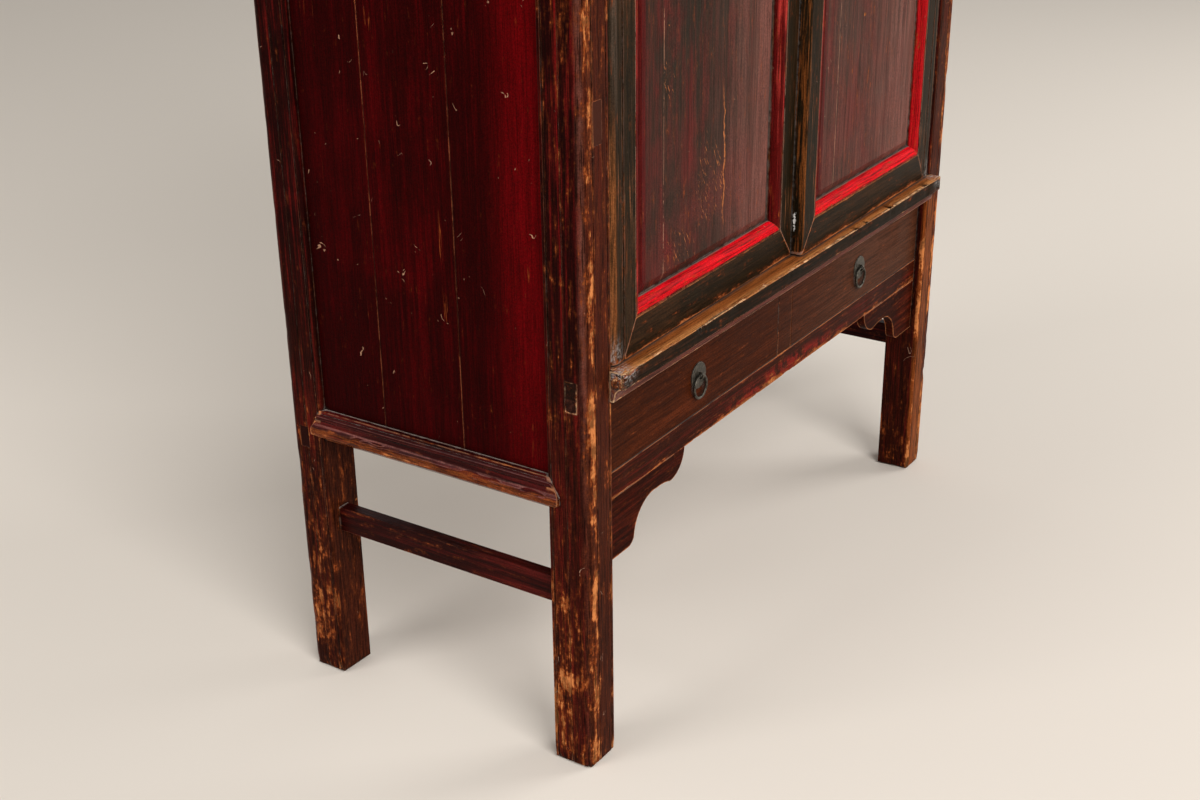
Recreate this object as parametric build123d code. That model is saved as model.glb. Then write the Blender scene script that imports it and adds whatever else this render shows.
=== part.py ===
"""Chinese wedding cabinet: a framed two-door cupboard with two drawers below the doors.

Millimetres, +Z up. The origin is the middle of the cabinet's footprint, on the floor. -X is the
cabinet's left side, -Y is its front. Each function builds one piece of the left half or one
whole piece, and the right half is its mirror image.
"""
from build123d import *
import math
import os

# ---------------------------------------------------------------- overall size
width = 1060.0                 # over the outer faces of the posts
depth = 468.0                  # over the front and back faces of the posts
height = 1760.0

# ---------------------------------------------------------------- fits
joint_gap = 0.15               # round a tenon or a tongue in its own socket
seat_gap = 0.3                 # between two pieces of different bodies that rest on each other
board_gap = 0.8                # shrinkage gap between two boards of one panel

# ---------------------------------------------------------------- posts
post_size = 56.0
post_corner_round = 13.0       # outer corner
post_edge_round = 3.5          # the two inner edges, which carry a bead
post_back_round = 2.0          # the corner inside the cabinet
post_quirk_radius = 1.3        # half-round grooves beside the bead, and beside the roll in front
post_roll_width = 21.5         # side face to the middle of the quirk in the front face
post_bead_width = 6.5          # inner edge to the middle of the quirk beside the bead
post_line_radius = 0.8         # fine line down the middle of the side face
foot_chamfer = 3.0
post_pin_size = 24.0           # square tenon on the post's head, under the top frame
post_pin_height = 14.0

# ---------------------------------------------------------------- front rails, from the floor up
drawer_rail_bottom = 350.0
drawer_rail_height = 36.0
drawer_opening_height = 106.5
sill_height = 38.5
lintel_height = 56.0
top_thickness = 32.0
drawer_rail_depth = 34.0
sill_depth = 40.0              # behind the posts' front face
lintel_depth = 40.0
front_setback = 14.0           # drawer fronts, drawer rail and spandrels behind the posts' face
sill_projection = 20.0         # sill nosing in front of the posts' face
sill_lap = 5.0                 # nosing over each post's face
sill_end_round = 7.0
sill_band_height = 20.5        # upright front band of the nosing
sill_step = 2.0                # band to the cove below it
sill_cove_radius = 11.0
sill_edge_round = 1.5
muntin_width = 40.0
lintel_setback = 2.0

# ---------------------------------------------------------------- tenons
tenon_length = 25.0            # blind tenons
tenon_shoulder = 5.0           # above and below a tenon
tenon_wall = 2.0               # wood left between two tenons that meet at right angles
sill_tenon_setback = 12.0      # posts' front face to the tenon, which shows at the post's side
sill_tenon_thickness = 16.0
rail_tenon_setback = 22.0
rail_tenon_thickness = 14.0
side_tenon_setback = 12.0
side_tenon_thickness = 16.0

# ---------------------------------------------------------------- spandrels
spandrel_length = 194.0        # along the drawer rail
spandrel_drop = 84.0           # down the post
spandrel_thickness = 14.0
spandrel_nose = (185.0, 22.0)  # along the rail, below the rail: middle of the upper lobe
spandrel_lobe = (158.0, 34.5)  # tip of the upper lobe
spandrel_hollow = (143.0, 30.8)     # middle of the hollow beside it
spandrel_cove_top = (125.0, 30.0)
spandrel_cove = (86.0, 42.0)   # middle of the large cove
spandrel_cove_end = (70.0, 74.0)
spandrel_heel = (66.0, 79.7)   # middle of the turn into the level lower edge
spandrel_toe = 55.0            # where the lower edge becomes level

# ---------------------------------------------------------------- sides
side_rail_bottom = 357.5
side_rail_height = 45.0
side_rail_thickness = 40.0     # in from the posts' outer face
side_moulding_lip = 0.5        # fillet in front of the posts' outer face
side_moulding_fillet = 4.0     # its height
side_moulding_bead = (4.0, 4.5)     # crest in front of the posts' face and below the fillet
side_moulding_neck = (2.0, 9.0)     # foot of the bead, in the same way
side_moulding_hollow = 0.8
side_moulding_nose = 6.0       # nose band in front of the posts' outer face
side_moulding_nose_levels = (11.0, 21.0)    # band's lower and upper edge above the rail's bottom
side_moulding_nose_bulge = 0.8
side_moulding_underside = 8.0  # bottom edge behind the posts' outer face
side_lap_top = 3.0             # the moulding laps the posts: at its top edge,
side_lap_front = 17.5          # at its nose over the front post
side_lap_back = 15.5           # and over the back post
side_upper_rail_height = 44.0
side_upper_rail_setback = 3.0
stretcher_setback = 17.0
stretcher_thickness = 19.0
stretcher_bottom = 219.5
stretcher_height = 35.0
stretcher_chamfer = 1.5
stretcher_tenon_length = 20.0
panel_setback = 8.0            # side and back boards behind the posts' outer faces
board_thickness = 12.0
board_tongue = 6.0
board_edge_chamfer = 1.0
side_board_seams = (129.0, 254.0)   # behind the front post's inner face
bearer_setback = 24.0          # strips behind the side boards that carry the shelves
bearer_thickness = 16.0
bearer_height = 48.0

# ---------------------------------------------------------------- back
back_rail_bottom = 340.0
back_rail_height = 52.0
back_rail_setback = 12.0
back_rail_thickness = 26.0
back_tenon_setback = 16.0
back_tenon_thickness = 14.0
back_tenon_bottom = 344.0
back_tenon_height = 29.0
back_upper_rail_height = 48.0
back_middle_rail_thickness = 24.0
back_middle_rail_height = 38.0
back_board_count = 5

# ---------------------------------------------------------------- floors and shelves
drawer_floor_thickness = 12.0
cabinet_floor_thickness = 12.0
cabinet_floor_drop = 8.0       # below the sill's top
shelf_thickness = 15.0
shelf_heights = (850.0, 1250.0)     # undersides
guide_width = 16.0
guide_height = 22.0
drawer_stop = (60.0, 12.0, 14.0)    # width, depth and height of the block behind a drawer

# ---------------------------------------------------------------- top
top_front_overhang = 26.0
top_side_overhang = 12.0
top_frame_width = 74.0
top_band_height = 14.0         # upright band at the top edge
top_step = 3.0
top_cove_radius = 12.0
top_panel_thickness = 12.0
top_panel_drop = 1.0

# ---------------------------------------------------------------- doors
door_thickness = 27.0
door_bottom_gap = 2.5
door_top_gap = 1.5
hinge_gap = 0.8                # post to the hinge stile's round edge
meeting_gap = 1.4              # between the two closed doors
hinge_bead = 26.0              # round edge to the middle of the quirk
hinge_quirk_radius = 2.0
hinge_flat = 28.0              # quirk to the panel moulding
meeting_flat = 36.0
door_rail_flat = 44.0
meeting_edge_round = 4.0
moulding_width = 16.0
moulding_seat = 13.0           # depth of the rebate that takes the moulding
moulding_outer_depth = 1.0     # below the frame's face at the outer edge
moulding_inner_depth = 10.5    # at the inner edge
moulding_bulge = 2.2
panel_groove_front = 15.0
panel_groove_back = 20.0
panel_groove_depth = 9.0
panel_tongue = 8.0
panel_field_depth = 9.5        # below the frame's face
panel_bevel = 13.0
panel_foot_round = 2.0         # corners at the bevel's foot
panel_field_round = 9.0        # corners of the raised field
door_batten_height = 40.0
door_batten_insets = (111.5, 182.5)     # batten's middle from the panel's bottom and top
pintle_radius = 8.0
pintle_gap = 0.3
pintle_foot_depth = 14.0       # socket in the sill
pintle_head_depth = 24.0       # socket in the lintel, deep enough to lift the door out
pintle_head_length = 17.0
left_door_inward = 1.1         # degrees: the left door rests against the shelves
right_door_outward = 0.9       # degrees: the right door stands a little open

# ---------------------------------------------------------------- drawers
drawer_front_gap = 1.0
drawer_front_thickness = 20.0
drawer_side_thickness = 12.0
drawer_side_height = 92.0
drawer_back_space = 25.85      # between the box and the rail behind it
drawer_bottom_thickness = 8.0
drawer_bottom_lift = 6.0
drawer_bottom_tongue = 5.0
drawer_edge_round = 1.5

# ---------------------------------------------------------------- ring pulls
drawer_plate_radius = 18.0
drawer_ring_radius = 15.3      # to the middle of the wire
drawer_ring_wire = 1.8
door_plate_radius = 11.5
door_ring_radius = 9.5
door_ring_wire = 1.6
door_pull_height = 1100.0
plate_thickness = 1.8
plate_edge = 0.8
eye_wire = 1.3
eye_clearance = 0.8            # ring wire inside the eye

# ---------------------------------------------------------------- levels and faces
left = -width / 2
front = (top_front_overhang - depth) / 2
back = front + depth
post_inner_x = left + post_size
post_front_inner = front + post_size
post_back_inner = back - post_size
drawer_rail_top = drawer_rail_bottom + drawer_rail_height
sill_bottom = drawer_rail_top + drawer_opening_height
sill_top = sill_bottom + sill_height
post_top = height - top_thickness
lintel_bottom = post_top - lintel_height
side_rail_top = side_rail_bottom + side_rail_height
side_upper_rail_bottom = post_top - side_upper_rail_height
back_rail_top = back_rail_bottom + back_rail_height
back_upper_rail_bottom = post_top - back_upper_rail_height
cabinet_floor_top = sill_top - cabinet_floor_drop
cabinet_floor_bottom = cabinet_floor_top - cabinet_floor_thickness
front_face = front + front_setback
board_outer_x = left + panel_setback
board_inner_x = board_outer_x + board_thickness
back_board_inner = back - panel_setback - board_thickness

# door frame, closed, in the cabinet's frame
door_bottom = sill_top + door_bottom_gap
door_top = lintel_bottom - door_top_gap
door_back = front + door_thickness
hinge_edge = post_inner_x + hinge_gap
hinge_radius = door_thickness / 2
hinge_x = hinge_edge + hinge_radius
hinge_y = front + hinge_radius
meeting_edge = -meeting_gap / 2
quirk_x = hinge_edge + hinge_bead
arris_left = quirk_x + hinge_flat
arris_right = meeting_edge - meeting_flat
arris_bottom = door_bottom + door_rail_flat
arris_top = door_top - door_rail_flat
opening_left = arris_left + moulding_width
opening_right = arris_right - moulding_width
opening_bottom = arris_bottom + moulding_width
opening_top = arris_top - moulding_width

# the shelves' front edges stop the doors at left_door_inward past their closed position
door_reach = meeting_edge - hinge_x
stop_angle = math.radians(left_door_inward)
shelf_front = hinge_y + door_reach * math.sin(stop_angle) + hinge_radius * math.cos(stop_angle) + seat_gap

# drawer in its opening
drawer_left = post_inner_x + drawer_front_gap
drawer_right = -muntin_width / 2 - drawer_front_gap
drawer_middle = (drawer_left + drawer_right) / 2
drawer_front_bottom = drawer_rail_top + drawer_front_gap
drawer_front_top = sill_bottom - drawer_front_gap
drawer_box_bottom = drawer_rail_top + seat_gap
drawer_box_front = front_face + drawer_front_thickness
middle_rail_y = back_board_inner - joint_gap - back_middle_rail_thickness
drawer_box_back = middle_rail_y - drawer_back_space


# ---------------------------------------------------------------- helpers
def block(x0, x1, y0, y1, z0, z1):
    """A box between two corners."""
    size = Box(x1 - x0, y1 - y0, z1 - z0)
    return Pos((x0 + x1) / 2, (y0 + y1) / 2, (z0 + z1) / 2) * size


def socket(x0, x1, y0, y1, z0, z1):
    """The hole for a block, with the joint's clearance all round."""
    return block(x0 - joint_gap, x1 + joint_gap, y0 - joint_gap, y1 + joint_gap,
                 z0 - joint_gap, z1 + joint_gap)


def outline(*points):
    """A face with straight edges."""
    return make_face(Polyline(*points, close=True))


def along_x(face, x0, x1):
    """Extrude a (y, z) face from x0 to x1."""
    return extrude(Plane.YZ.offset(x0) * face, amount=x1 - x0)


def along_y(face, y0, y1):
    """Extrude an (x, z) face from y0 to y1."""
    return extrude(Plane.XZ.offset(-y1) * face, amount=y1 - y0)


def along_z(face, z0, z1):
    """Extrude an (x, y) face from z0 to z1."""
    return extrude(Plane.XY.offset(z0) * face, amount=z1 - z0)


def round_corner(face, x, y, radius):
    """Round the face's corner that lies nearest (x, y)."""
    corner = min(face.vertices(), key=lambda v: math.hypot(v.X - x, v.Y - y))
    return fillet(corner, radius)


def to_right(piece):
    """The right-hand copy of a left-hand piece."""
    return mirror(piece, about=Plane.YZ)


def to_back(piece):
    """The copy of a front post at the back."""
    return mirror(piece, about=Plane.XZ.offset(-(front + back) / 2))


# ---------------------------------------------------------------- tenons shared by rails and posts
def rail_tenon(y_setback, thickness, z0, z1, length=tenon_length):
    """Tenon of a front or back rail, into the left post from its inner face."""
    return (post_inner_x - length, post_inner_x,
            front + y_setback, front + y_setback + thickness, z0, z1)


def side_tenons(z0, z1, setback=side_tenon_setback, thickness=side_tenon_thickness,
                length=tenon_length, through_front=False):
    """Tenons of a left side rail, into the front post and into the back post."""
    x0 = left + setback
    front_end = front if through_front else post_front_inner - length
    return [(x0, x0 + thickness, front_end, post_front_inner, z0, z1),
            (x0, x0 + thickness, post_back_inner, post_back_inner + length, z0, z1)]


sill_tenon = rail_tenon(sill_tenon_setback, sill_tenon_thickness, sill_bottom, sill_top, post_size)
drawer_rail_tenon = rail_tenon(rail_tenon_setback, rail_tenon_thickness,
                               drawer_rail_bottom + tenon_shoulder, drawer_rail_top - tenon_shoulder)
lintel_tenon = rail_tenon(rail_tenon_setback, rail_tenon_thickness,
                          lintel_bottom + tenon_shoulder, post_top - tenon_shoulder)
back_tenon = rail_tenon(depth - back_tenon_setback - back_tenon_thickness, back_tenon_thickness,
                        back_tenon_bottom, back_tenon_bottom + back_tenon_height, post_size)
back_upper_tenon = rail_tenon(depth - back_tenon_setback - back_tenon_thickness,
                              back_tenon_thickness,
                              back_upper_rail_bottom + board_tongue + tenon_shoulder,
                              post_top - tenon_shoulder)
back_middle_tenon = rail_tenon(middle_rail_y - front + tenon_shoulder,
                               back_middle_rail_thickness - 2 * tenon_shoulder,
                               cabinet_floor_bottom - back_middle_rail_height + tenon_shoulder,
                               cabinet_floor_bottom - tenon_shoulder,
                               post_size - bearer_setback - bearer_thickness - tenon_wall)
side_lower_tenons = side_tenons(side_rail_bottom + tenon_shoulder,
                                side_rail_top - board_tongue - tenon_shoulder)
side_upper_tenons = side_tenons(side_upper_rail_bottom + board_tongue + tenon_shoulder,
                                post_top - tenon_shoulder)
stretcher_tenons = side_tenons(stretcher_bottom + tenon_shoulder,
                               stretcher_bottom + stretcher_height - tenon_shoulder,
                               stretcher_setback + tenon_shoulder - 1.0,
                               stretcher_thickness - 2 * tenon_shoulder + 2.0,
                               stretcher_tenon_length)
bearer_levels = [cabinet_floor_bottom] + list(shelf_heights)
bearer_tenons = [side_tenons(top - bearer_height, top, bearer_setback, bearer_thickness,
                             stretcher_tenon_length, through_front=top in shelf_heights)
                 for top in bearer_levels]


# ---------------------------------------------------------------- posts
def post_profile():
    """Section of the front left post: rolled corner, quirks and beaded inner edges."""
    x1 = left + post_size
    y1 = front + post_size
    face = outline((left, front), (x1, front), (x1, y1), (left, y1))
    face = round_corner(face, left, front, post_corner_round)
    face = round_corner(face, x1, front, post_edge_round)
    face = round_corner(face, left, y1, post_edge_round)
    face = round_corner(face, x1, y1, post_back_round)
    bead = post_size - post_bead_width
    face -= Pos(left + bead, front) * Circle(post_quirk_radius)
    face -= Pos(left, front + bead) * Circle(post_quirk_radius)
    face -= Pos(left + post_roll_width, front) * Circle(post_quirk_radius)
    return face - Pos(left, front + post_size / 2) * Circle(post_line_radius)


def post_blank():
    """The bare post with its chamfered foot and the pin on its head."""
    envelope = block(left, post_inner_x, front, post_front_inner, 0, post_top)
    envelope = chamfer(envelope.faces().sort_by(Axis.Z)[0].edges(), foot_chamfer)
    post = along_z(post_profile(), 0, post_top) & envelope
    middle_x = left + post_size / 2
    middle_y = front + post_size / 2
    half = post_pin_size / 2
    return post + block(middle_x - half, middle_x + half, middle_y - half, middle_y + half,
                        post_top, post_top + post_pin_height)


def side_board_groove(y0, y1):
    """The groove in a post's inner face that takes the side boards' edge."""
    return block(board_outer_x - joint_gap, board_inner_x + joint_gap, y0, y1,
                 side_rail_top - board_tongue, side_upper_rail_bottom + board_tongue)


def front_post():
    post = post_blank()
    for tenon in (sill_tenon, drawer_rail_tenon, lintel_tenon):
        post -= socket(*tenon)
    for pair in [side_lower_tenons, side_upper_tenons, stretcher_tenons] + bearer_tenons:
        post -= socket(*pair[0])
    return post - side_board_groove(post_front_inner - board_tongue - joint_gap,
                                    post_front_inner + joint_gap)


def back_post():
    post = to_back(post_blank())
    for tenon in (back_tenon, back_upper_tenon, back_middle_tenon):
        post -= socket(*tenon)
    for pair in [side_lower_tenons, side_upper_tenons, stretcher_tenons] + bearer_tenons:
        post -= socket(*pair[1])
    post -= side_board_groove(post_back_inner - joint_gap,
                              post_back_inner + board_tongue + joint_gap)
    return post - block(post_inner_x - board_tongue - joint_gap, post_inner_x + joint_gap,
                        back_board_inner - joint_gap, back - panel_setback + joint_gap,
                        back_rail_top - board_tongue, back_upper_rail_bottom + board_tongue)


# ---------------------------------------------------------------- left side
def side_moulding():
    """Section of the lower rail as (y, z): fillet, bead, hollow, nose band and sloped underside."""
    inner_x = left + side_rail_thickness
    lip_x = left - side_moulding_lip
    nose_x = left - side_moulding_nose
    fillet_z = side_rail_top - side_moulding_fillet
    bead_out, bead_below = side_moulding_bead
    neck_out, neck_below = side_moulding_neck
    neck = (left - neck_out, fillet_z - neck_below)
    nose_low, nose_high = [side_rail_bottom + level for level in side_moulding_nose_levels]
    hollow = ((neck[0] + nose_x) / 2 + side_moulding_hollow, (neck[1] + nose_high) / 2)
    band = (nose_x - side_moulding_nose_bulge, (nose_low + nose_high) / 2)
    return make_face([
        Polyline((nose_x, nose_low), (left + side_moulding_underside, side_rail_bottom),
                 (inner_x, side_rail_bottom), (inner_x, side_rail_top), (lip_x, side_rail_top),
                 (lip_x, fillet_z)),
        ThreePointArc((lip_x, fillet_z), (left - bead_out, fillet_z - bead_below), neck),
        ThreePointArc(neck, hollow, (nose_x, nose_high)),
        ThreePointArc((nose_x, nose_high), band, (nose_x, nose_low))])


def side_lower_rail():
    """Moulded rail whose moulding laps the posts with pointed shoulders."""
    nose_low, nose_high = [side_rail_bottom + level for level in side_moulding_nose_levels]
    outer_x = left - side_moulding_nose - side_moulding_nose_bulge - 1
    inner_x = left + side_rail_thickness + 1
    below = side_rail_bottom - 1
    above = side_rail_top + 1
    y0 = post_front_inner - side_lap_front
    y1 = post_back_inner + side_lap_back
    rail = along_y(side_moulding(), y0, y1)
    # what laps over the posts is only the part in front of their faces
    rail -= block(left, inner_x, y0 - 1, post_front_inner, below, above)
    rail -= block(left, inner_x, post_back_inner, y1 + 1, below, above)
    # pointed shoulders: the laps narrow from the nose band to the top and to the bottom
    for end, tip, way in ((post_front_inner, y0, -1), (post_back_inner, y1, 1)):
        top_lap = end + way * side_lap_top
        beyond = tip + way
        high = outline((top_lap, above), (top_lap, side_rail_top), (tip, nose_high),
                       (beyond, nose_high), (beyond, above))
        low = outline((end, below), (end, side_rail_bottom), (tip, nose_low),
                      (beyond, nose_low), (beyond, below))
        rail -= along_x(high, outer_x, left)
        rail -= along_x(low, outer_x, left)
    for tenon in side_lower_tenons:
        rail += block(*tenon)
    rail -= block(board_outer_x - joint_gap, board_inner_x + joint_gap,
                  post_front_inner - 1, post_back_inner + 1,
                  side_rail_top - board_tongue - joint_gap, side_rail_top + 1)
    return rail - drawer_floor_space()


def side_upper_rail():
    x0 = left + side_upper_rail_setback
    rail = block(x0, left + side_rail_thickness, post_front_inner, post_back_inner,
                 side_upper_rail_bottom, post_top)
    for tenon in side_upper_tenons:
        rail += block(*tenon)
    return rail - block(board_outer_x - joint_gap, board_inner_x + joint_gap,
                        post_front_inner - 1, post_back_inner + 1,
                        side_upper_rail_bottom - 1,
                        side_upper_rail_bottom + board_tongue + joint_gap)


def side_stretcher():
    x0 = left + stretcher_setback
    bar = block(x0, x0 + stretcher_thickness, post_front_inner, post_back_inner,
                stretcher_bottom, stretcher_bottom + stretcher_height)
    bar = chamfer(bar.edges().filter_by(Axis.Y), stretcher_chamfer)
    for tenon in stretcher_tenons:
        bar += block(*tenon)
    return bar


def side_boards():
    """Three upright boards, their outer edges in the posts and their ends in the rails."""
    seams = [post_front_inner + seam for seam in side_board_seams]
    starts = [post_front_inner - board_tongue] + [seam + board_gap / 2 for seam in seams]
    ends = [seam - board_gap / 2 for seam in seams] + [post_back_inner + board_tongue]
    boards = []
    for y0, y1 in zip(starts, ends):
        board = block(board_outer_x, board_inner_x, y0, y1,
                      side_rail_top - board_tongue, side_upper_rail_bottom + board_tongue)
        outer = board.faces().sort_by(Axis.X)[0].edges().filter_by(Axis.Z)
        boards.append(chamfer(outer, board_edge_chamfer))
    return boards


def side_bearers():
    """Strips behind the side boards that carry the cabinet floor and the shelves."""
    x0 = left + bearer_setback
    bearers = []
    for top, pair in zip(bearer_levels, bearer_tenons):
        bearer = block(x0, x0 + bearer_thickness, post_front_inner, post_back_inner,
                       top - bearer_height, top)
        for tenon in pair:
            bearer += block(*tenon)
        bearers.append(bearer)
    return bearers


# ---------------------------------------------------------------- front
def door_sill():
    """Sill under the doors, with a nosing that laps the posts and a cove under it."""
    nose_y = front - sill_projection
    band_z = sill_top - sill_band_height
    cove_y = nose_y + sill_step
    section = make_face([
        Polyline((cove_y, band_z), (nose_y, band_z), (nose_y, sill_top), (front + sill_depth, sill_top),
                 (front + sill_depth, sill_bottom), (cove_y + sill_cove_radius + sill_step, sill_bottom),
                 (cove_y + sill_cove_radius, band_z - sill_cove_radius)),
        RadiusArc((cove_y + sill_cove_radius, band_z - sill_cove_radius), (cove_y, band_z),
                  -sill_cove_radius)])
    section = round_corner(section, nose_y, sill_top, sill_edge_round)
    section = round_corner(section, nose_y, band_z, sill_edge_round)
    end = post_inner_x - sill_lap
    plan = outline((end, nose_y), (-end, nose_y), (-end, front), (-post_inner_x, front),
                   (-post_inner_x, front + sill_depth), (post_inner_x, front + sill_depth),
                   (post_inner_x, front), (end, front))
    plan = round_corner(plan, end, nose_y, sill_end_round)
    plan = round_corner(plan, -end, nose_y, sill_end_round)
    sill = along_x(section, end, -end) & along_z(plan, sill_bottom, sill_top)
    tenon = block(*sill_tenon)
    sill += tenon
    sill += to_right(tenon)
    pintle = Pos(hinge_x, hinge_y, sill_top - pintle_foot_depth / 2) * Cylinder(
        pintle_radius + pintle_gap, pintle_foot_depth)
    sill -= pintle
    sill -= to_right(pintle)
    return sill - cabinet_floor_space()


def drawer_rail():
    rail = block(post_inner_x, -post_inner_x, front_face, front_face + drawer_rail_depth,
                 drawer_rail_bottom, drawer_rail_top)
    tenon = block(*drawer_rail_tenon)
    rail += tenon
    rail += to_right(tenon)
    return rail - drawer_floor_space()


def lintel():
    rail = block(post_inner_x, -post_inner_x, front + lintel_setback, front + lintel_depth,
                 lintel_bottom, post_top)
    tenon = block(*lintel_tenon)
    rail += tenon
    rail += to_right(tenon)
    pintle = Pos(hinge_x, hinge_y, lintel_bottom + pintle_head_depth / 2) * Cylinder(
        pintle_radius + pintle_gap, pintle_head_depth)
    rail -= pintle
    return rail - to_right(pintle)


def drawer_muntin():
    half = muntin_width / 2
    return block(-half, half, front_face, front_face + drawer_rail_depth, drawer_rail_top, sill_bottom)


def spandrel():
    """Scrolled bracket between the left post and the drawer rail."""
    def at(along, below):
        return (post_inner_x + along, drawer_rail_bottom - below)
    lobe = at(*spandrel_lobe)
    cove_top = at(*spandrel_cove_top)
    cove_end = at(*spandrel_cove_end)
    toe = at(spandrel_toe, spandrel_drop)
    start = at(spandrel_length, 0)
    scroll = [
        Line(at(0, 0), start),
        ThreePointArc(start, at(*spandrel_nose), lobe),
        ThreePointArc(lobe, at(*spandrel_hollow), cove_top),
        ThreePointArc(cove_top, at(*spandrel_cove), cove_end),
        ThreePointArc(cove_end, at(*spandrel_heel), toe),
        Line(toe, at(0, spandrel_drop)),
        Line(at(0, spandrel_drop), at(0, 0)),
    ]
    return along_y(make_face(scroll), front_face, front_face + spandrel_thickness)


# ---------------------------------------------------------------- back
def back_lower_rail():
    y1 = back - back_rail_setback
    rail = block(post_inner_x, -post_inner_x, y1 - back_rail_thickness, y1,
                 back_rail_bottom, back_rail_top)
    tenon = block(*back_tenon)
    rail += tenon
    rail += to_right(tenon)
    rail -= back_board_groove(back_rail_top - board_tongue, back_rail_top + 1)
    return rail - drawer_floor_space()


def back_upper_rail():
    y1 = back - back_rail_setback
    rail = block(post_inner_x, -post_inner_x, y1 - back_rail_thickness, y1,
                 back_upper_rail_bottom, post_top)
    tenon = block(*back_upper_tenon)
    rail += tenon
    rail += to_right(tenon)
    return rail - back_board_groove(back_upper_rail_bottom - 1, back_upper_rail_bottom + board_tongue)


def back_board_groove(z0, z1):
    return block(post_inner_x - 1, -post_inner_x + 1, back_board_inner - joint_gap,
                 back_board_inner + board_thickness + joint_gap, z0 - joint_gap, z1 + joint_gap)


def back_middle_rail():
    rail = block(post_inner_x, -post_inner_x, middle_rail_y, middle_rail_y + back_middle_rail_thickness,
                 cabinet_floor_bottom - back_middle_rail_height, cabinet_floor_bottom)
    tenon = block(*back_middle_tenon)
    rail += tenon
    return rail + to_right(tenon)


def back_boards():
    x0 = post_inner_x - board_tongue
    pitch = -2 * x0 / back_board_count
    boards = []
    for i in range(back_board_count):
        start = x0 + i * pitch + (board_gap / 2 if i else 0)
        end = x0 + (i + 1) * pitch - (board_gap / 2 if i < back_board_count - 1 else 0)
        boards.append(block(start, end, back_board_inner, back_board_inner + board_thickness,
                            back_rail_top - board_tongue, back_upper_rail_bottom + board_tongue))
    return boards


# ---------------------------------------------------------------- floors, shelves and guides
def post_notches(z0, z1):
    """The four corners that a floor or shelf leaves clear for the posts."""
    corner = block(left, post_inner_x + joint_gap, front, post_front_inner + joint_gap, z0, z1)
    far = to_back(corner)
    return [corner, far, to_right(corner), to_right(far)]


def drawer_floor(grow=0.0):
    """Board under the drawers, its edges in grooves of the rails round it."""
    z1 = drawer_rail_top + grow
    z0 = drawer_rail_top - drawer_floor_thickness - grow
    x0 = left + side_rail_thickness - board_tongue - grow
    y0 = front_face + drawer_rail_depth - board_tongue - grow
    y1 = back - back_rail_setback - back_rail_thickness + board_tongue + grow
    return block(x0, -x0, y0, y1, z0, z1)


def drawer_floor_space():
    return drawer_floor(joint_gap)


def drawer_floor_board():
    board = drawer_floor()
    for notch in post_notches(drawer_rail_bottom, drawer_rail_top + 1):
        board -= notch
    return board


def cabinet_floor(grow=0.0):
    """Board behind the sill: its front edge in the sill, its sides on the bearers."""
    x0 = board_inner_x + joint_gap - grow
    y0 = front + sill_depth - board_tongue - grow
    y1 = back_board_inner - joint_gap + grow
    return block(x0, -x0, y0, y1, cabinet_floor_bottom - grow, cabinet_floor_top + grow)


def cabinet_floor_space():
    return cabinet_floor(joint_gap)


def cabinet_floor_board():
    board = cabinet_floor()
    for notch in post_notches(cabinet_floor_bottom - 1, cabinet_floor_top + 1):
        board -= notch
    return board


def shelf(underside):
    board = block(board_inner_x + joint_gap, -board_inner_x - joint_gap, shelf_front,
                  back_board_inner - joint_gap, underside, underside + shelf_thickness)
    for notch in post_notches(underside - 1, underside + shelf_thickness + 1):
        board -= notch
    return board


def drawer_guides():
    """Strips beside the drawers and a stop block behind each, all on the drawer floor."""
    z0 = drawer_rail_top
    z1 = z0 + guide_height
    y0 = front_face + drawer_rail_depth
    outer = block(post_inner_x - guide_width, post_inner_x, post_front_inner, post_back_inner, z0, z1)
    middle = block(-muntin_width / 2, muntin_width / 2, y0, post_back_inner, z0, z1)
    stop_width, stop_depth, stop_height = drawer_stop
    stop_y = drawer_box_back + seat_gap
    stop = block(drawer_middle - stop_width / 2, drawer_middle + stop_width / 2,
                 stop_y, stop_y + stop_depth, z0, z0 + stop_height)
    return [outer, middle, to_right(outer), stop, to_right(stop)]


# ---------------------------------------------------------------- top
def top_edge_section(outer, inner):
    """Moulded edge of the top frame, outer face at 'outer', as (across, z)."""
    way = 1.0 if inner > outer else -1.0
    band_z = height - top_band_height
    cove = outer + way * top_step
    foot = cove + way * top_cove_radius
    return make_face([
        Polyline((cove, band_z), (outer, band_z), (outer, height), (inner, height), (inner, post_top),
                 (foot, post_top), (foot, band_z - top_cove_radius)),
        RadiusArc((foot, band_z - top_cove_radius), (cove, band_z), -way * top_cove_radius)])


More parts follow.
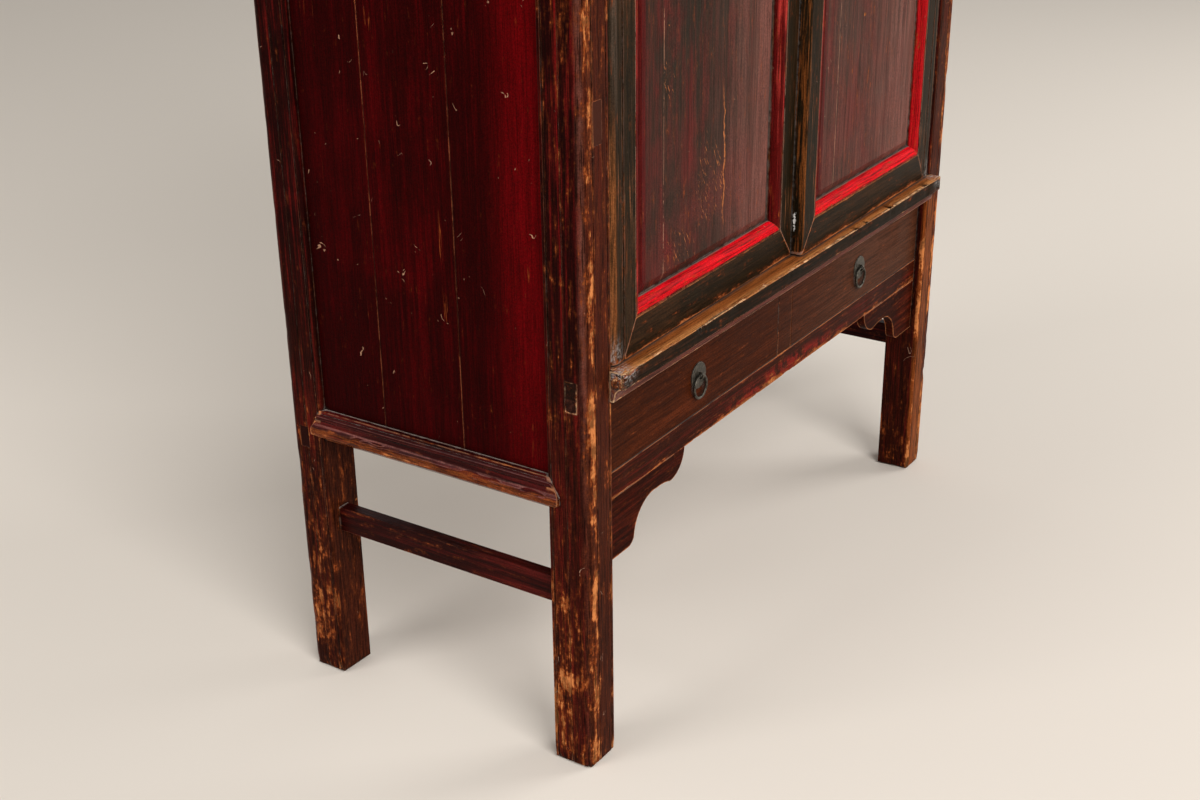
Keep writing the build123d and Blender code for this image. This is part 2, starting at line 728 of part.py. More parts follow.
def top_frame():
    """Four mitred members with a coved edge; the back member is plain."""
    x0 = left - top_side_overhang
    y0 = front - top_front_overhang
    inner_x = x0 + top_frame_width
    inner_y = y0 + top_frame_width
    inner_back = back - top_frame_width
    front_bar = along_x(top_edge_section(y0, inner_y), x0, -x0)
    front_plan = outline((x0, y0), (-x0, y0), (-inner_x, inner_y), (inner_x, inner_y))
    side_bar = along_y(top_edge_section(x0, inner_x), y0, back)
    side_plan = outline((x0, y0), (inner_x, inner_y), (inner_x, inner_back), (x0, back))
    back_plan = outline((x0, back), (-x0, back), (-inner_x, inner_back), (inner_x, inner_back))
    side = side_bar & along_z(side_plan, post_top - 1, height + 1)
    members = [
        front_bar & along_z(front_plan, post_top - 1, height + 1),
        side,
        to_right(side),
        along_z(back_plan, post_top, height) - block(x0 - 1, x0 + top_step, back - top_frame_width,
                                                     back + 1, post_top - 1, height - top_band_height)
        - block(-x0 - top_step, -x0 + 1, back - top_frame_width, back + 1,
                post_top - 1, height - top_band_height),
    ]
    half = post_pin_size / 2
    pin_x = left + post_size / 2
    pin_y = front + post_size / 2
    pin = socket(pin_x - half, pin_x + half, pin_y - half, pin_y + half,
                 post_top - 1, post_top + post_pin_height)
    pins = [pin, to_right(pin), to_back(pin), to_right(to_back(pin))]
    groove = top_panel(joint_gap)
    finished = []
    for member in members:
        for cutter in pins:
            member -= cutter
        finished.append(member - groove)
    return finished


def top_panel(grow=0.0):
    """Panel inside the top frame, its tongue in the frame's groove."""
    x0 = left - top_side_overhang + top_frame_width
    y0 = front - top_front_overhang + top_frame_width
    y1 = back - top_frame_width
    z1 = height - top_panel_drop
    z0 = z1 - top_panel_thickness
    tongue_top = (z0 + z1) / 2 + grow
    field = block(x0 + board_gap - grow, -x0 - board_gap + grow, y0 + board_gap - grow,
                  y1 - board_gap + grow, z0 - grow, z1 + grow)
    tongue = block(x0 - board_tongue - grow, -x0 + board_tongue + grow,
                   y0 - board_tongue - grow, y1 + board_tongue + grow, z0 - grow, tongue_top)
    return field + tongue


# ---------------------------------------------------------------- left door, closed
def door_frame_blank():
    """Frame of the left door in one piece: rebate for the moulding, groove for the panel."""
    frame = block(hinge_x, meeting_edge, front, door_back, door_bottom, door_top)
    frame = fillet(frame.edges().filter_by(Axis.Z).group_by(Axis.X)[-1], meeting_edge_round)
    frame += Pos(hinge_x, hinge_y, (door_bottom + door_top) / 2) * Cylinder(
        hinge_radius, door_top - door_bottom)
    for y in (front, door_back):
        frame -= Pos(quirk_x, y, (door_bottom + door_top) / 2) * Cylinder(
            hinge_quirk_radius, door_top - door_bottom)
    frame -= block(opening_left, opening_right, front - 1, door_back + 1, opening_bottom, opening_top)
    frame -= block(arris_left, arris_right, front - 1, front + moulding_seat, arris_bottom, arris_top)
    reach = panel_groove_depth
    return frame - block(opening_left - reach, opening_right + reach,
                         front + panel_groove_front, front + panel_groove_back,
                         opening_bottom - reach, opening_top + reach)


def door_frame_parts():
    """The four members, parted along mitres that run through the moulding's corners."""
    frame = door_frame_blank()
    edge_left = hinge_edge - 1
    edge_right = meeting_edge + 1
    low_left = [(quirk_x, door_bottom), (arris_left, arris_bottom), (opening_left, opening_bottom)]
    low_right = [(meeting_edge, door_bottom), (arris_right, arris_bottom),
                 (opening_right, opening_bottom)]
    high_left = [(quirk_x, door_top), (arris_left, arris_top), (opening_left, opening_top)]
    high_right = [(meeting_edge, door_top), (arris_right, arris_top), (opening_right, opening_top)]
    hinge = outline((edge_left, door_bottom), *low_left, *reversed(high_left), (edge_left, door_top))
    meeting = outline((edge_right, door_bottom), *low_right, *reversed(high_right),
                      (edge_right, door_top))
    low = outline(*low_left, *reversed(low_right))
    high = outline(*high_left, *reversed(high_right))
    parts = {}
    for name, plan in (("hinge_stile", hinge), ("meeting_stile", meeting),
                       ("bottom_rail", low), ("top_rail", high)):
        parts[name] = frame & along_y(plan, front - 1, door_back + 1)
    return parts


def pintles():
    """Round pins in line with the hinge stile's round edge."""
    foot_bottom = sill_top - pintle_foot_depth + seat_gap
    foot_length = door_bottom - foot_bottom
    head_length = door_top_gap + pintle_head_length
    foot = Pos(hinge_x, hinge_y, foot_bottom + foot_length / 2) * Cylinder(pintle_radius, foot_length)
    head = Pos(hinge_x, hinge_y, door_top + head_length / 2) * Cylinder(pintle_radius, head_length)
    return foot + head


def door_moulding():
    """Four mitred strips round the panel, rounded towards it."""
    def section(arris, inner):
        way = 1.0 if inner > arris else -1.0
        outer_y = front + moulding_outer_depth
        inner_y = front + moulding_inner_depth
        seat_y = front + moulding_seat
        middle = (arris + inner) / 2 + way * moulding_bulge
        return arris, inner, outer_y, inner_y, seat_y, middle, (outer_y + inner_y) / 2 - moulding_bulge

    def upright(arris, inner):
        a, i, outer_y, inner_y, seat_y, mx, my = section(arris, inner)
        face = make_face([Polyline((i, inner_y), (i, seat_y), (a, seat_y), (a, outer_y)),
                          ThreePointArc((a, outer_y), (mx, my), (i, inner_y))])
        return along_z(face, arris_bottom, arris_top)

    def level(arris, inner):
        a, i, outer_y, inner_y, seat_y, mz, my = section(arris, inner)
        face = make_face([Polyline((inner_y, i), (seat_y, i), (seat_y, a), (outer_y, a)),
                          ThreePointArc((outer_y, a), (my, mz), (inner_y, i))])
        return along_x(face, arris_left, arris_right)

    corners = [(arris_left, arris_bottom), (opening_left, opening_bottom),
               (opening_right, opening_bottom), (arris_right, arris_bottom),
               (arris_left, arris_top), (opening_left, opening_top),
               (opening_right, opening_top), (arris_right, arris_top)]
    lo_l, lo_li, lo_ri, lo_r, hi_l, hi_li, hi_ri, hi_r = corners
    strips = [
        (upright(arris_left, opening_left), outline(lo_l, lo_li, hi_li, hi_l)),
        (upright(arris_right, opening_right), outline(lo_r, lo_ri, hi_ri, hi_r)),
        (level(arris_bottom, opening_bottom), outline(lo_l, lo_li, lo_ri, lo_r)),
        (level(arris_top, opening_top), outline(hi_l, hi_li, hi_ri, hi_r)),
    ]
    return [strip & along_y(plan, front - 1, door_back + 1) for strip, plan in strips]


def door_panel():
    """Floating panel: flat field, bevelled margins and a tongue in the frame's groove."""
    y0 = front + panel_field_depth
    y1 = front + panel_groove_front + seat_gap
    y2 = front + panel_groove_back - seat_gap
    tongue = block(opening_left - panel_tongue, opening_right + panel_tongue, y1, y2,
                   opening_bottom - panel_tongue, opening_top + panel_tongue)
    middle = ((opening_left + opening_right) / 2, (opening_bottom + opening_top) / 2)
    wide = opening_right - opening_left - 2 * joint_gap
    tall = opening_top - opening_bottom - 2 * joint_gap
    foot = Plane.XZ.offset(-y1) * Pos(*middle) * RectangleRounded(wide, tall, panel_foot_round)
    field = Plane.XZ.offset(-y0) * Pos(*middle) * RectangleRounded(
        wide - 2 * panel_bevel, tall - 2 * panel_bevel, panel_field_round)
    return tongue + loft([foot, field], ruled=True)


def door_battens():
    y0 = front + panel_groove_back - seat_gap
    half = door_batten_height / 2
    from_bottom, from_top = door_batten_insets
    return [block(opening_left, opening_right, y0, door_back, level - half, level + half)
            for level in (opening_bottom + from_bottom, opening_top - from_top)]


# ---------------------------------------------------------------- left drawer
def drawer_front():
    board = block(drawer_left, drawer_right, front_face, drawer_box_front,
                  drawer_front_bottom, drawer_front_top)
    rim = board.faces().sort_by(Axis.Y)[0].edges()
    board = fillet(rim, drawer_edge_round)
    return board - drawer_bottom_board(joint_gap)


def drawer_box():
    """Two sides and the back."""
    z0 = drawer_box_bottom
    z1 = z0 + drawer_side_height
    side = block(drawer_left, drawer_left + drawer_side_thickness, drawer_box_front, drawer_box_back,
                 z0, z1)
    other = block(drawer_right - drawer_side_thickness, drawer_right, drawer_box_front,
                  drawer_box_back, z0, z1)
    end = block(drawer_left + drawer_side_thickness, drawer_right - drawer_side_thickness,
                drawer_box_back - drawer_side_thickness, drawer_box_back, z0, z1)
    groove = drawer_bottom_board(joint_gap)
    return [side - groove, other - groove, end - groove]


def drawer_bottom_board(grow=0.0):
    x0 = drawer_left + drawer_side_thickness - drawer_bottom_tongue - grow
    x1 = drawer_right - drawer_side_thickness + drawer_bottom_tongue + grow
    y0 = drawer_box_front - drawer_bottom_tongue - grow
    y1 = drawer_box_back - drawer_side_thickness + drawer_bottom_tongue + grow
    z0 = drawer_box_bottom + drawer_bottom_lift - grow
    return block(x0, x1, y0, y1, z0, z0 + drawer_bottom_thickness + 2 * grow)


# ---------------------------------------------------------------- ring pulls
def eye_centre(face_y, wire):
    """Y of the eye's middle: the ring's wire just clears the plate."""
    return face_y - plate_thickness - seat_gap - wire


def pull_plate(x, face_y, z, radius, wire):
    """Round plate with the eye that holds the ring."""
    plate = Pos(x, face_y - plate_thickness / 2, z) * Rot(90, 0, 0) * Cylinder(radius, plate_thickness)
    plate = fillet(plate.faces().sort_by(Axis.Y)[0].edges(), plate_edge)
    eye_radius = wire + eye_clearance + eye_wire
    eye = Pos(x, eye_centre(face_y, wire), z) * Rot(0, 90, 0) * Torus(eye_radius, eye_wire)
    behind = block(x - radius, x + radius, face_y - plate_thickness / 2, face_y + radius,
                   z - radius, z + radius)
    return plate + (eye - behind)


def pull_ring(x, face_y, z, ring_radius, wire):
    """Ring that hangs in the eye."""
    return Pos(x, eye_centre(face_y, wire), z - ring_radius) * Rot(90, 0, 0) * Torus(ring_radius, wire)


def drawer_pull():
    z = (drawer_front_bottom + drawer_front_top) / 2
    return (pull_plate(drawer_middle, front_face, z, drawer_plate_radius, drawer_ring_wire),
            pull_ring(drawer_middle, front_face, z, drawer_ring_radius, drawer_ring_wire))


def door_pull():
    x = meeting_edge - meeting_flat / 2
    return (pull_plate(x, front, door_pull_height, door_plate_radius, door_ring_wire),
            pull_ring(x, front, door_pull_height, door_ring_radius, door_ring_wire))


# ---------------------------------------------------------------- the whole cabinet
def door_pieces():
    """Every piece of the left door, closed."""
    pieces = door_frame_parts()
    pieces["hinge_stile"] += pintles()
    pieces["panel"] = door_panel()
    pieces["moulding"] = door_moulding()
    pieces["battens"] = door_battens()
    pieces["pull_plate"], pieces["pull_ring"] = door_pull()
    return pieces


def drawer_pieces():
    """Every piece of the left drawer, shut."""
    plate, ring = drawer_pull()
    return {"front": drawer_front(), "box": drawer_box(), "bottom": drawer_bottom_board(),
            "pull_plate": plate, "pull_ring": ring}


def each(piece, change):
    """Apply a change to a solid or to every solid of a group."""
    if isinstance(piece, list):
        return [change(item) for item in piece]
    return change(piece)


def swing(piece, side, degrees):
    """Turn a door piece about its hinge; side is -1 for the left door and 1 for the right."""
    pivot = Pos(-side * hinge_x, hinge_y, 0)
    turn = pivot * Rot(0, 0, degrees) * pivot.inverse()
    return each(piece, lambda item: turn * item)


def cabinet():
    """All nodes by name; a list is a group of separate solids."""
    nodes = {}
    halves = {
        "post_front": front_post(),
        "post_back": back_post(),
        "side_lower_rail": side_lower_rail(),
        "side_upper_rail": side_upper_rail(),
        "side_stretcher": side_stretcher(),
        "side_boards": side_boards(),
        "side_bearers": side_bearers(),
        "spandrel": spandrel(),
    }
    for name, piece in drawer_pieces().items():
        halves["drawer_" + name] = piece
    for name, piece in halves.items():
        nodes[name + "_left"] = piece
        nodes[name + "_right"] = each(piece, to_right)
    for name, piece in door_pieces().items():
        nodes["door_" + name + "_left"] = swing(piece, -1, left_door_inward)
        nodes["door_" + name + "_right"] = swing(each(piece, to_right), 1, right_door_outward)
    nodes["door_sill"] = door_sill()
    nodes["drawer_rail"] = drawer_rail()
    nodes["lintel"] = lintel()
    nodes["drawer_muntin"] = drawer_muntin()
    nodes["back_lower_rail"] = back_lower_rail()
    nodes["back_middle_rail"] = back_middle_rail()
    nodes["back_upper_rail"] = back_upper_rail()
    nodes["back_boards"] = back_boards()
    nodes["drawer_floor"] = drawer_floor_board()
    nodes["cabinet_floor"] = cabinet_floor_board()
    nodes["shelf_lower"] = shelf(shelf_heights[0])
    nodes["shelf_upper"] = shelf(shelf_heights[1])
    nodes["drawer_guides"] = drawer_guides()
    nodes["top_frame"] = top_frame()
    nodes["top_panel"] = top_panel()
    return nodes


def write(nodes):
    """One STEP file for each node."""
    os.makedirs("parts", exist_ok=True)
    for name, piece in nodes.items():
        shape = Compound(children=list(piece)) if isinstance(piece, list) else piece
        export_step(shape, os.path.join("parts", name + ".step"))
    print(len(nodes), "nodes")


write(cabinet())
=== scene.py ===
# %% [markdown]
# # A lacquered wedding cabinet, step by step
# The cabinet stands on square posts that run down into the legs. Between them sit framed doors,
# two drawers, boarded sides and a scrolled bracket under each end of the front rail. The solids
# come ready made from the frame. This lesson gives every piece its aged finish, and batters the
# pieces that take the knocks.

# %% Load the frame
import bmesh
import bpy
import math
from mathutils import Matrix, Vector, noise


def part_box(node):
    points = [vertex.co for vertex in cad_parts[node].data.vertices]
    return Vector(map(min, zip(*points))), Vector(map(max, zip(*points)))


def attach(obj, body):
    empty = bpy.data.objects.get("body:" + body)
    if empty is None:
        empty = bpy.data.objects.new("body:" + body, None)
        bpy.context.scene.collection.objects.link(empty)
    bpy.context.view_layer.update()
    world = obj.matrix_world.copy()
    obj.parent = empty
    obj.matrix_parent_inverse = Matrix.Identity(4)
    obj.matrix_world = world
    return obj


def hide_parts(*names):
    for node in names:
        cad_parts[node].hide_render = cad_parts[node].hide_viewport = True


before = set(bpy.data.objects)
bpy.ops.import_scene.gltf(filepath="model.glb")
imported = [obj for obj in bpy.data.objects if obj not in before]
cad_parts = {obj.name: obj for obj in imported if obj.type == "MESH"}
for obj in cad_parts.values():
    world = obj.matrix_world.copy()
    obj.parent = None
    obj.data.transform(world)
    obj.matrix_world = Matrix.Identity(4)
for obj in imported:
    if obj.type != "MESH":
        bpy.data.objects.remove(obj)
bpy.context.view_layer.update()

# %% [markdown]
# ## Fields: numbers that change over a surface
# A finish is a tree of nodes, and most of its nodes do sums. Adding and linking each of them by
# hand makes long scripts that are hard to read. So an output of a node is wrapped in a small
# class here, a field, and Python's own signs add the math nodes: a * b + 0.5 makes two of them.

# %% Fields
class Field:
    """A number, vector or colour that changes over the surface."""

    def __init__(self, tree, socket):
        self.tree = tree
        self.socket = socket

    def math(self, operation, *others):
        """The field put through a Math node; others are the node's further inputs."""
        return made(self.tree, "ShaderNodeMath", 0, dict(enumerate((self, *others))),
                    operation=operation)

    def __add__(self, other):
        return self.math("ADD", other)

    def __sub__(self, other):
        return self.math("SUBTRACT", other)

    def __rsub__(self, other):
        return made(self.tree, "ShaderNodeMath", 0, {0: other, 1: self}, operation="SUBTRACT")

    def __mul__(self, other):
        return self.math("MULTIPLY", other)

    def __truediv__(self, other):
        return self.math("DIVIDE", other)

    def __lt__(self, other):
        return self.math("LESS_THAN", other)

    def __gt__(self, other):
        return self.math("GREATER_THAN", other)

    def __abs__(self):
        return self.math("ABSOLUTE")

    def clamped(self):
        """The result of the last sum, kept from 0 to 1."""
        self.socket.node.use_clamp = True
        return self


def larger(first, second):
    return first.math("MAXIMUM", second)


def smaller(first, second):
    return first.math("MINIMUM", second)


print("a field knows", len([name for name in vars(Field) if name.startswith("__")]), "names")

# %% [markdown]
# ## Adding nodes
# All nodes of this lesson are added by the same few functions. Each of their inputs is either
# linked, when it is given a field, or set, when it is given a plain number or colour.

# %% Nodes
def feed(tree, socket, value):
    """Link a field to a socket, or set the socket to a plain value."""
    if isinstance(value, Field):
        tree.links.new(value.socket, socket)
    else:
        socket.default_value = (*value, 1.0) if socket.type == "RGBA" else value


def place(tree, kind, inputs=None, **settings):
    """Add a node, set it up and feed its inputs."""
    node = tree.nodes.new(kind)
    for key, value in settings.items():
        setattr(node, key, value)
    for key, value in (inputs or {}).items():
        feed(tree, node.inputs[key], value)
    return node


def made(tree, kind, output, inputs=None, **settings):
    """Add a node and return one of its outputs as a field."""
    return Field(tree, place(tree, kind, inputs, **settings).outputs[output])


def parts(vector):
    """The x, y and z of a vector field."""
    node = place(vector.tree, "ShaderNodeSeparateXYZ", {0: vector})
    return [Field(vector.tree, socket) for socket in node.outputs]


class Surface:
    """The spot that a finish colours: its point on the cabinet, and the way it faces."""

    def __init__(self, tree):
        self.tree = tree
        self.point = made(tree, "ShaderNodeTexCoord", "Object")
        self.x, self.y, self.z = parts(self.point)

    def facing(self, kind="Normal"):
        """The x, y and z of the direction in which the surface faces."""
        return parts(made(self.tree, "ShaderNodeNewGeometry", kind))


print("added by:", [helper.__name__ for helper in (feed, place, made)])

# %% [markdown]
# ## Ramps, blends and noise
# Four kinds of node do most of the work on an old surface. A ramp turns a distance into a soft
# edge, a blend lays one colour over another, a noise makes clouds, and random cells scatter
# specks. Each gets a function with the values that this lesson varies.

# %% Ramps, blends and noise
def ramp(value, low, high, to_low=0.0, to_high=1.0):
    """Smoothly map a field from low..high to to_low..to_high."""
    return made(value.tree, "ShaderNodeMapRange", "Result",
                {"Value": value, "From Min": low, "From Max": high, "To Min": to_low,
                 "To Max": to_high}, interpolation_type="SMOOTHSTEP")


def blend(amount, first, second):
    """Lay the second colour over the first, as much as the amount says."""
    return made(amount.tree, "ShaderNodeMix", 2, {"Factor": amount, 6: first, 7: second},
                data_type="RGBA")


def darker(colour, share):
    """A plain colour with every channel at a share of itself."""
    return [share * channel for channel in colour]


def scaled(colour, amount):
    """A colour field made lighter or darker by the amount."""
    return made(colour.tree, "ShaderNodeVectorMath", 0, {0: colour, 3: amount}, operation="SCALE")


def stretched(point, squeeze, shift=(0.0, 0.0, 0.0)):
    """The point x squeeze + shift: noise on it is short where the squeeze is large."""
    return made(point.tree, "ShaderNodeVectorMath", 0, {0: point, 1: squeeze, 2: shift},
                operation="MULTIPLY_ADD")


def clouds(point, size, detail=4.0, roughness=0.55, distortion=0.0):
    """Noise from 0 to 1, with about as many clouds in a metre as the size says."""
    return made(point.tree, "ShaderNodeTexNoise", "Fac",
                {"Vector": point, "Scale": size, "Detail": detail, "Roughness": roughness,
                 "Distortion": distortion})


def cells(point, scale):
    """Random cells: the distance to the nearest cell's middle, and two chances for the cell."""
    node = place(point.tree, "ShaderNodeTexVoronoi", {"Vector": point, "Scale": scale})
    drawn = place(point.tree, "ShaderNodeSeparateColor",
                  {"Color": Field(point.tree, node.outputs["Color"])})
    return [Field(point.tree, socket)
            for socket in (node.outputs["Distance"], drawn.outputs[0], drawn.outputs[1])]


print("helpers:", [helper.__name__ for helper in (ramp, blend, scaled, stretched, clouds, cells)])

# %% [markdown]
# ## Node groups
# Grain, flaking and dust are the same on every piece and only differ in strength. Copying their
# nodes into each material would hide that. A node group holds them once, and its named inputs
# are what a material may change. The shader itself stays outside, in the material.

# %% Opening and placing a group
VALUE, VECTOR = "NodeSocketFloat", "NodeSocketVector"


def open_group(name, inputs, outputs):
    """A new group with its named sockets: its tree, its inputs, and a way to set its outputs."""
    tree = bpy.data.node_groups.new(name, "ShaderNodeTree")
    for label, kind, default in inputs:
        socket = tree.interface.new_socket(label, in_out="INPUT", socket_type=kind)
        socket.default_value = default
    for label, kind in outputs:
        tree.interface.new_socket(label, in_out="OUTPUT", socket_type=kind)
    entry, leave = tree.nodes.new("NodeGroupInput"), tree.nodes.new("NodeGroupOutput")
    given = {label: Field(tree, entry.outputs[label]) for label, kind, default in inputs}

    def give(**results):
        for label, field in results.items():
            feed(tree, leave.inputs[label.replace("_", " ")], field)

    return tree, given, give


def use(tree, group, **inputs):
    """Place a group; underscores in the names stand for spaces. Returns its outputs."""
    node = tree.nodes.new("ShaderNodeGroup")
    node.node_tree = group
    for label, value in inputs.items():
        feed(tree, node.inputs[label.replace("_", " ")], value)
    return {socket.name: Field(tree, socket) for socket in node.outputs}


print("groups so far:", len(bpy.data.node_groups))

# %% [markdown]
# ## Grain that runs with the timber
# The lacquer is thin and the elm below it is coarse, so the grain reads through everything. An
# image of wood would repeat, and would need each board unwrapped. A noise becomes grain when its
# space is squeezed across the board and stretched along it. The group takes that squeeze as a
# vector, in waves per metre, and each board picks its direction.

# %% Timber grain group
def build_grain():
    tree, given, give = open_group(
        "Timber grain",
        [("Squeeze", VECTOR, (160.0, 160.0, 5.0)), ("Seed", VALUE, 0.0)],
        [("Fibre", VALUE), ("Figure", VALUE), ("Pores", VALUE), ("Hair", VALUE),
         ("Chip Point", VECTOR)])
    point, squeeze = Surface(tree).point, given["Squeeze"]
    shift = made(tree, "ShaderNodeCombineXYZ", 0, {axis: given["Seed"] for axis in "XYZ"})
    grain = stretched(point, squeeze, shift)
    rounder = stretched(squeeze, (0.55, 0.55, 0.55), (16.0, 16.0, 16.0))
    give(Fibre=clouds(grain, 1.0, 6.0, 0.68), Figure=clouds(grain, 0.22, 4.0, 0.55, 0.5),
         Pores=ramp(clouds(grain, 2.6, 2.0, 0.5), 0.56, 0.70), Hair=clouds(grain, 3.7, 2.0, 0.6),
         Chip_Point=stretched(point, rounder, shift))
    return tree


timber_grain = build_grain()
UP, ACROSS, INWARD = (170.0, 170.0, 5.0), (5.0, 170.0, 170.0), (170.0, 5.0, 170.0)
print(timber_grain.name, "gives", [socket.name for socket in timber_grain.interface.items_tree])

# %% [markdown]
# ## Flaking lacquer
# Lacquer fails in small torn islands that are a few times longer along the grain than across it.
# Two noises together give such islands, and a threshold decides how many show. The threshold
# sinks where the wear is: near an edge, which ambient occlusion inside the solid finds because
# its short rays leave the wood again, and wherever the material's own wear map says so. A very
# broad noise then gathers the wear in places and leaves others clean. The rim of an island stops
# at the undercoat, its middle goes down to the elm. Scratches are the contour lines of a noise,
# and the arris is a broken line along the very edge.

# %% Flaking group
def build_flaking():
    tree, given, give = open_group(
        "Flaking",
        [("Chip Point", VECTOR, (0.0, 0.0, 0.0)), ("Figure", VALUE, 0.5), ("Width", VALUE, 0.003),
         ("Edge", VALUE, 0.5), ("Wear", VALUE, 0.0), ("Specks", VALUE, 0.4), ("Line", VALUE, 0.5)],
        [("Undercoat", VALUE), ("Bare Wood", VALUE), ("Rubbed", VALUE), ("Scratches", VALUE),
         ("Arris", VALUE)])
    point, specks = Surface(tree).point, given["Specks"]
    inside = made(tree, "ShaderNodeAmbientOcclusion", "AO", {"Distance": given["Width"]},
                  samples=8, inside=True, only_local=True)
    near_edge = 1.0 - inside
    edge = (near_edge * 0.7 + ramp(near_edge, 0.20, 0.34) * 0.75) * given["Edge"]
    gathered = ramp(clouds(point, 11.0, 3.0, 0.6), 0.32, 0.68, 0.40, 1.40)
    reach = (edge + given["Wear"]) * gathered
    torn = clouds(given["Chip Point"], 1.5, 7.0, 0.64) * 0.72
    even = clouds(point, 160.0, 5.0, 0.6) * 0.28
    worn = reach * 0.30 + (torn + even) - 0.700
    wobble = made(tree, "ShaderNodeTexNoise", "Color",
                  {"Vector": point, "Scale": 190.0, "Detail": 3.0})
    distance, luck, size = cells(stretched(wobble, (0.010, 0.010, 0.010), point), 34.0)
    chip = (luck > 1.0 - specks * 0.07) * (distance < size * 0.075 + 0.025)
    across = (ramp(abs(clouds(point, 26.0, 1.0, 0.5, 0.8) - 0.5), 0.005, 0.002)
              * ramp(clouds(point, 31.0, 3.0, 0.6), 0.66, 0.72))
    along = (ramp(abs(given["Figure"] - 0.62), 0.004, 0.001)
             * ramp(clouds(point, 13.0, 4.0, 0.6), 0.55, 0.62))
    broken = ramp(clouds(point, 42.0, 5.0, 0.7), 0.40, 0.50)
    give(Undercoat=larger(ramp(worn, -0.034, -0.010), (along * specks).clamped()),
         Bare_Wood=larger(ramp(worn, 0.010, 0.020), chip), Rubbed=ramp(worn, -0.14, 0.02),
         Scratches=(across * specks).clamped(),
         Arris=ramp(near_edge, 0.30, 0.42) * broken * given["Line"])
    return tree


flaking = build_flaking()
print(flaking.name, "has", len(flaking.nodes), "nodes")

# %% [markdown]
# ## Dust that settles in joints, and shade in them
# A cabinet this old carries pale dust in every inner corner. It could be painted by hand, joint
# by joint. Ambient occlusion outside the solid finds the corners by itself, also those between
# two different pieces, and an upward face gathers more. The same occlusion comes out as the
# hollow, which the finishes use to paint shade into those corners.

# %% Settled dust group
def build_dust():
    tree, given, give = open_group(
        "Settled dust",
        [("Reach", VALUE, 0.007), ("Amount", VALUE, 0.4)], [("Dust", VALUE), ("Hollow", VALUE)])
    on = Surface(tree)
    around = made(tree, "ShaderNodeAmbientOcclusion", "AO", {"Distance": given["Reach"]},
                  samples=8, inside=False, only_local=False)
    hollow = 1.0 - around
    gathered = hollow * (ramp(on.facing()[2], 0.2, 0.9) * 0.6 + 0.75)
    dust = ramp(gathered * clouds(on.point, 90.0, 6.0, 0.7), 0.16, 0.34)
    # Hollow is the occlusion that the finishes turn into painted shade
    give(Dust=dust * given["Amount"], Hollow=hollow)
    return tree


dust_and_hollow_shade = build_dust()
print("groups:", [group.name for group in (timber_grain, flaking, dust_and_hollow_shade)])

# %% [markdown]
# ## The colours
# Colours are linear, as a shader takes them. Several lacquers cover the cabinet, and under all
# of them lie the same orange-brown undercoat and the same tan elm, so those are named once here.

# %% Colours of the undercoat, the wood and the dirt
UNDERCOAT = (0.240, 0.050, 0.011)
ORANGE_ELM = (0.400, 0.130, 0.040)
SCRATCH = (0.360, 0.200, 0.135)
DUST = (0.300, 0.255, 0.225)
# one dark colour for dirt in the grain and for painted shade in the hollows
GRIME_AND_SHADE = (0.005, 0.0025, 0.0015)
print("colours:", UNDERCOAT, ORANGE_ELM)

# %% [markdown]
# ## What all the materials share
# Lacquer, raw wood and iron end in the same shader, with bumps less than a millimetre deep. Bare
# elm shows in every lacquer, so its colouring is a function too.

# %% Material, shader and bare elm
def new_material(name):
    """A material with an empty tree, and the surface that its nodes will colour."""
    material = bpy.data.materials.new(name)
    material.use_nodes = True
    material.node_tree.nodes.clear()
    return material, Surface(material.node_tree)


def shade(tree, inputs, height, strength, depth):
    """The shader and the output, with the height as small bumps, depth metres deep."""
    bump = made(tree, "ShaderNodeBump", 0,
                {"Height": height, "Strength": strength, "Distance": depth})
    shader = place(tree, "ShaderNodeBsdfPrincipled", {**inputs, "Normal": bump})
    tree.links.new(shader.outputs[0], place(tree, "ShaderNodeOutputMaterial").inputs["Surface"])


def worn_elm(on, fibre, elm):
    """Bare elm: soiled in places, and dark in the open grain."""
    soiled = clouds(on.point, 75.0, 4.0, 0.6) * 1.2 + fibre * 0.8
    wood = blend(ramp(soiled, 0.84, 1.16), darker(elm, 0.36), darker(elm, 1.15))
    return blend(ramp(fibre, 0.46, 0.38) * 0.8, wood, darker(elm, 0.10))


print("bare elm is", darker(ORANGE_ELM, 1.15))
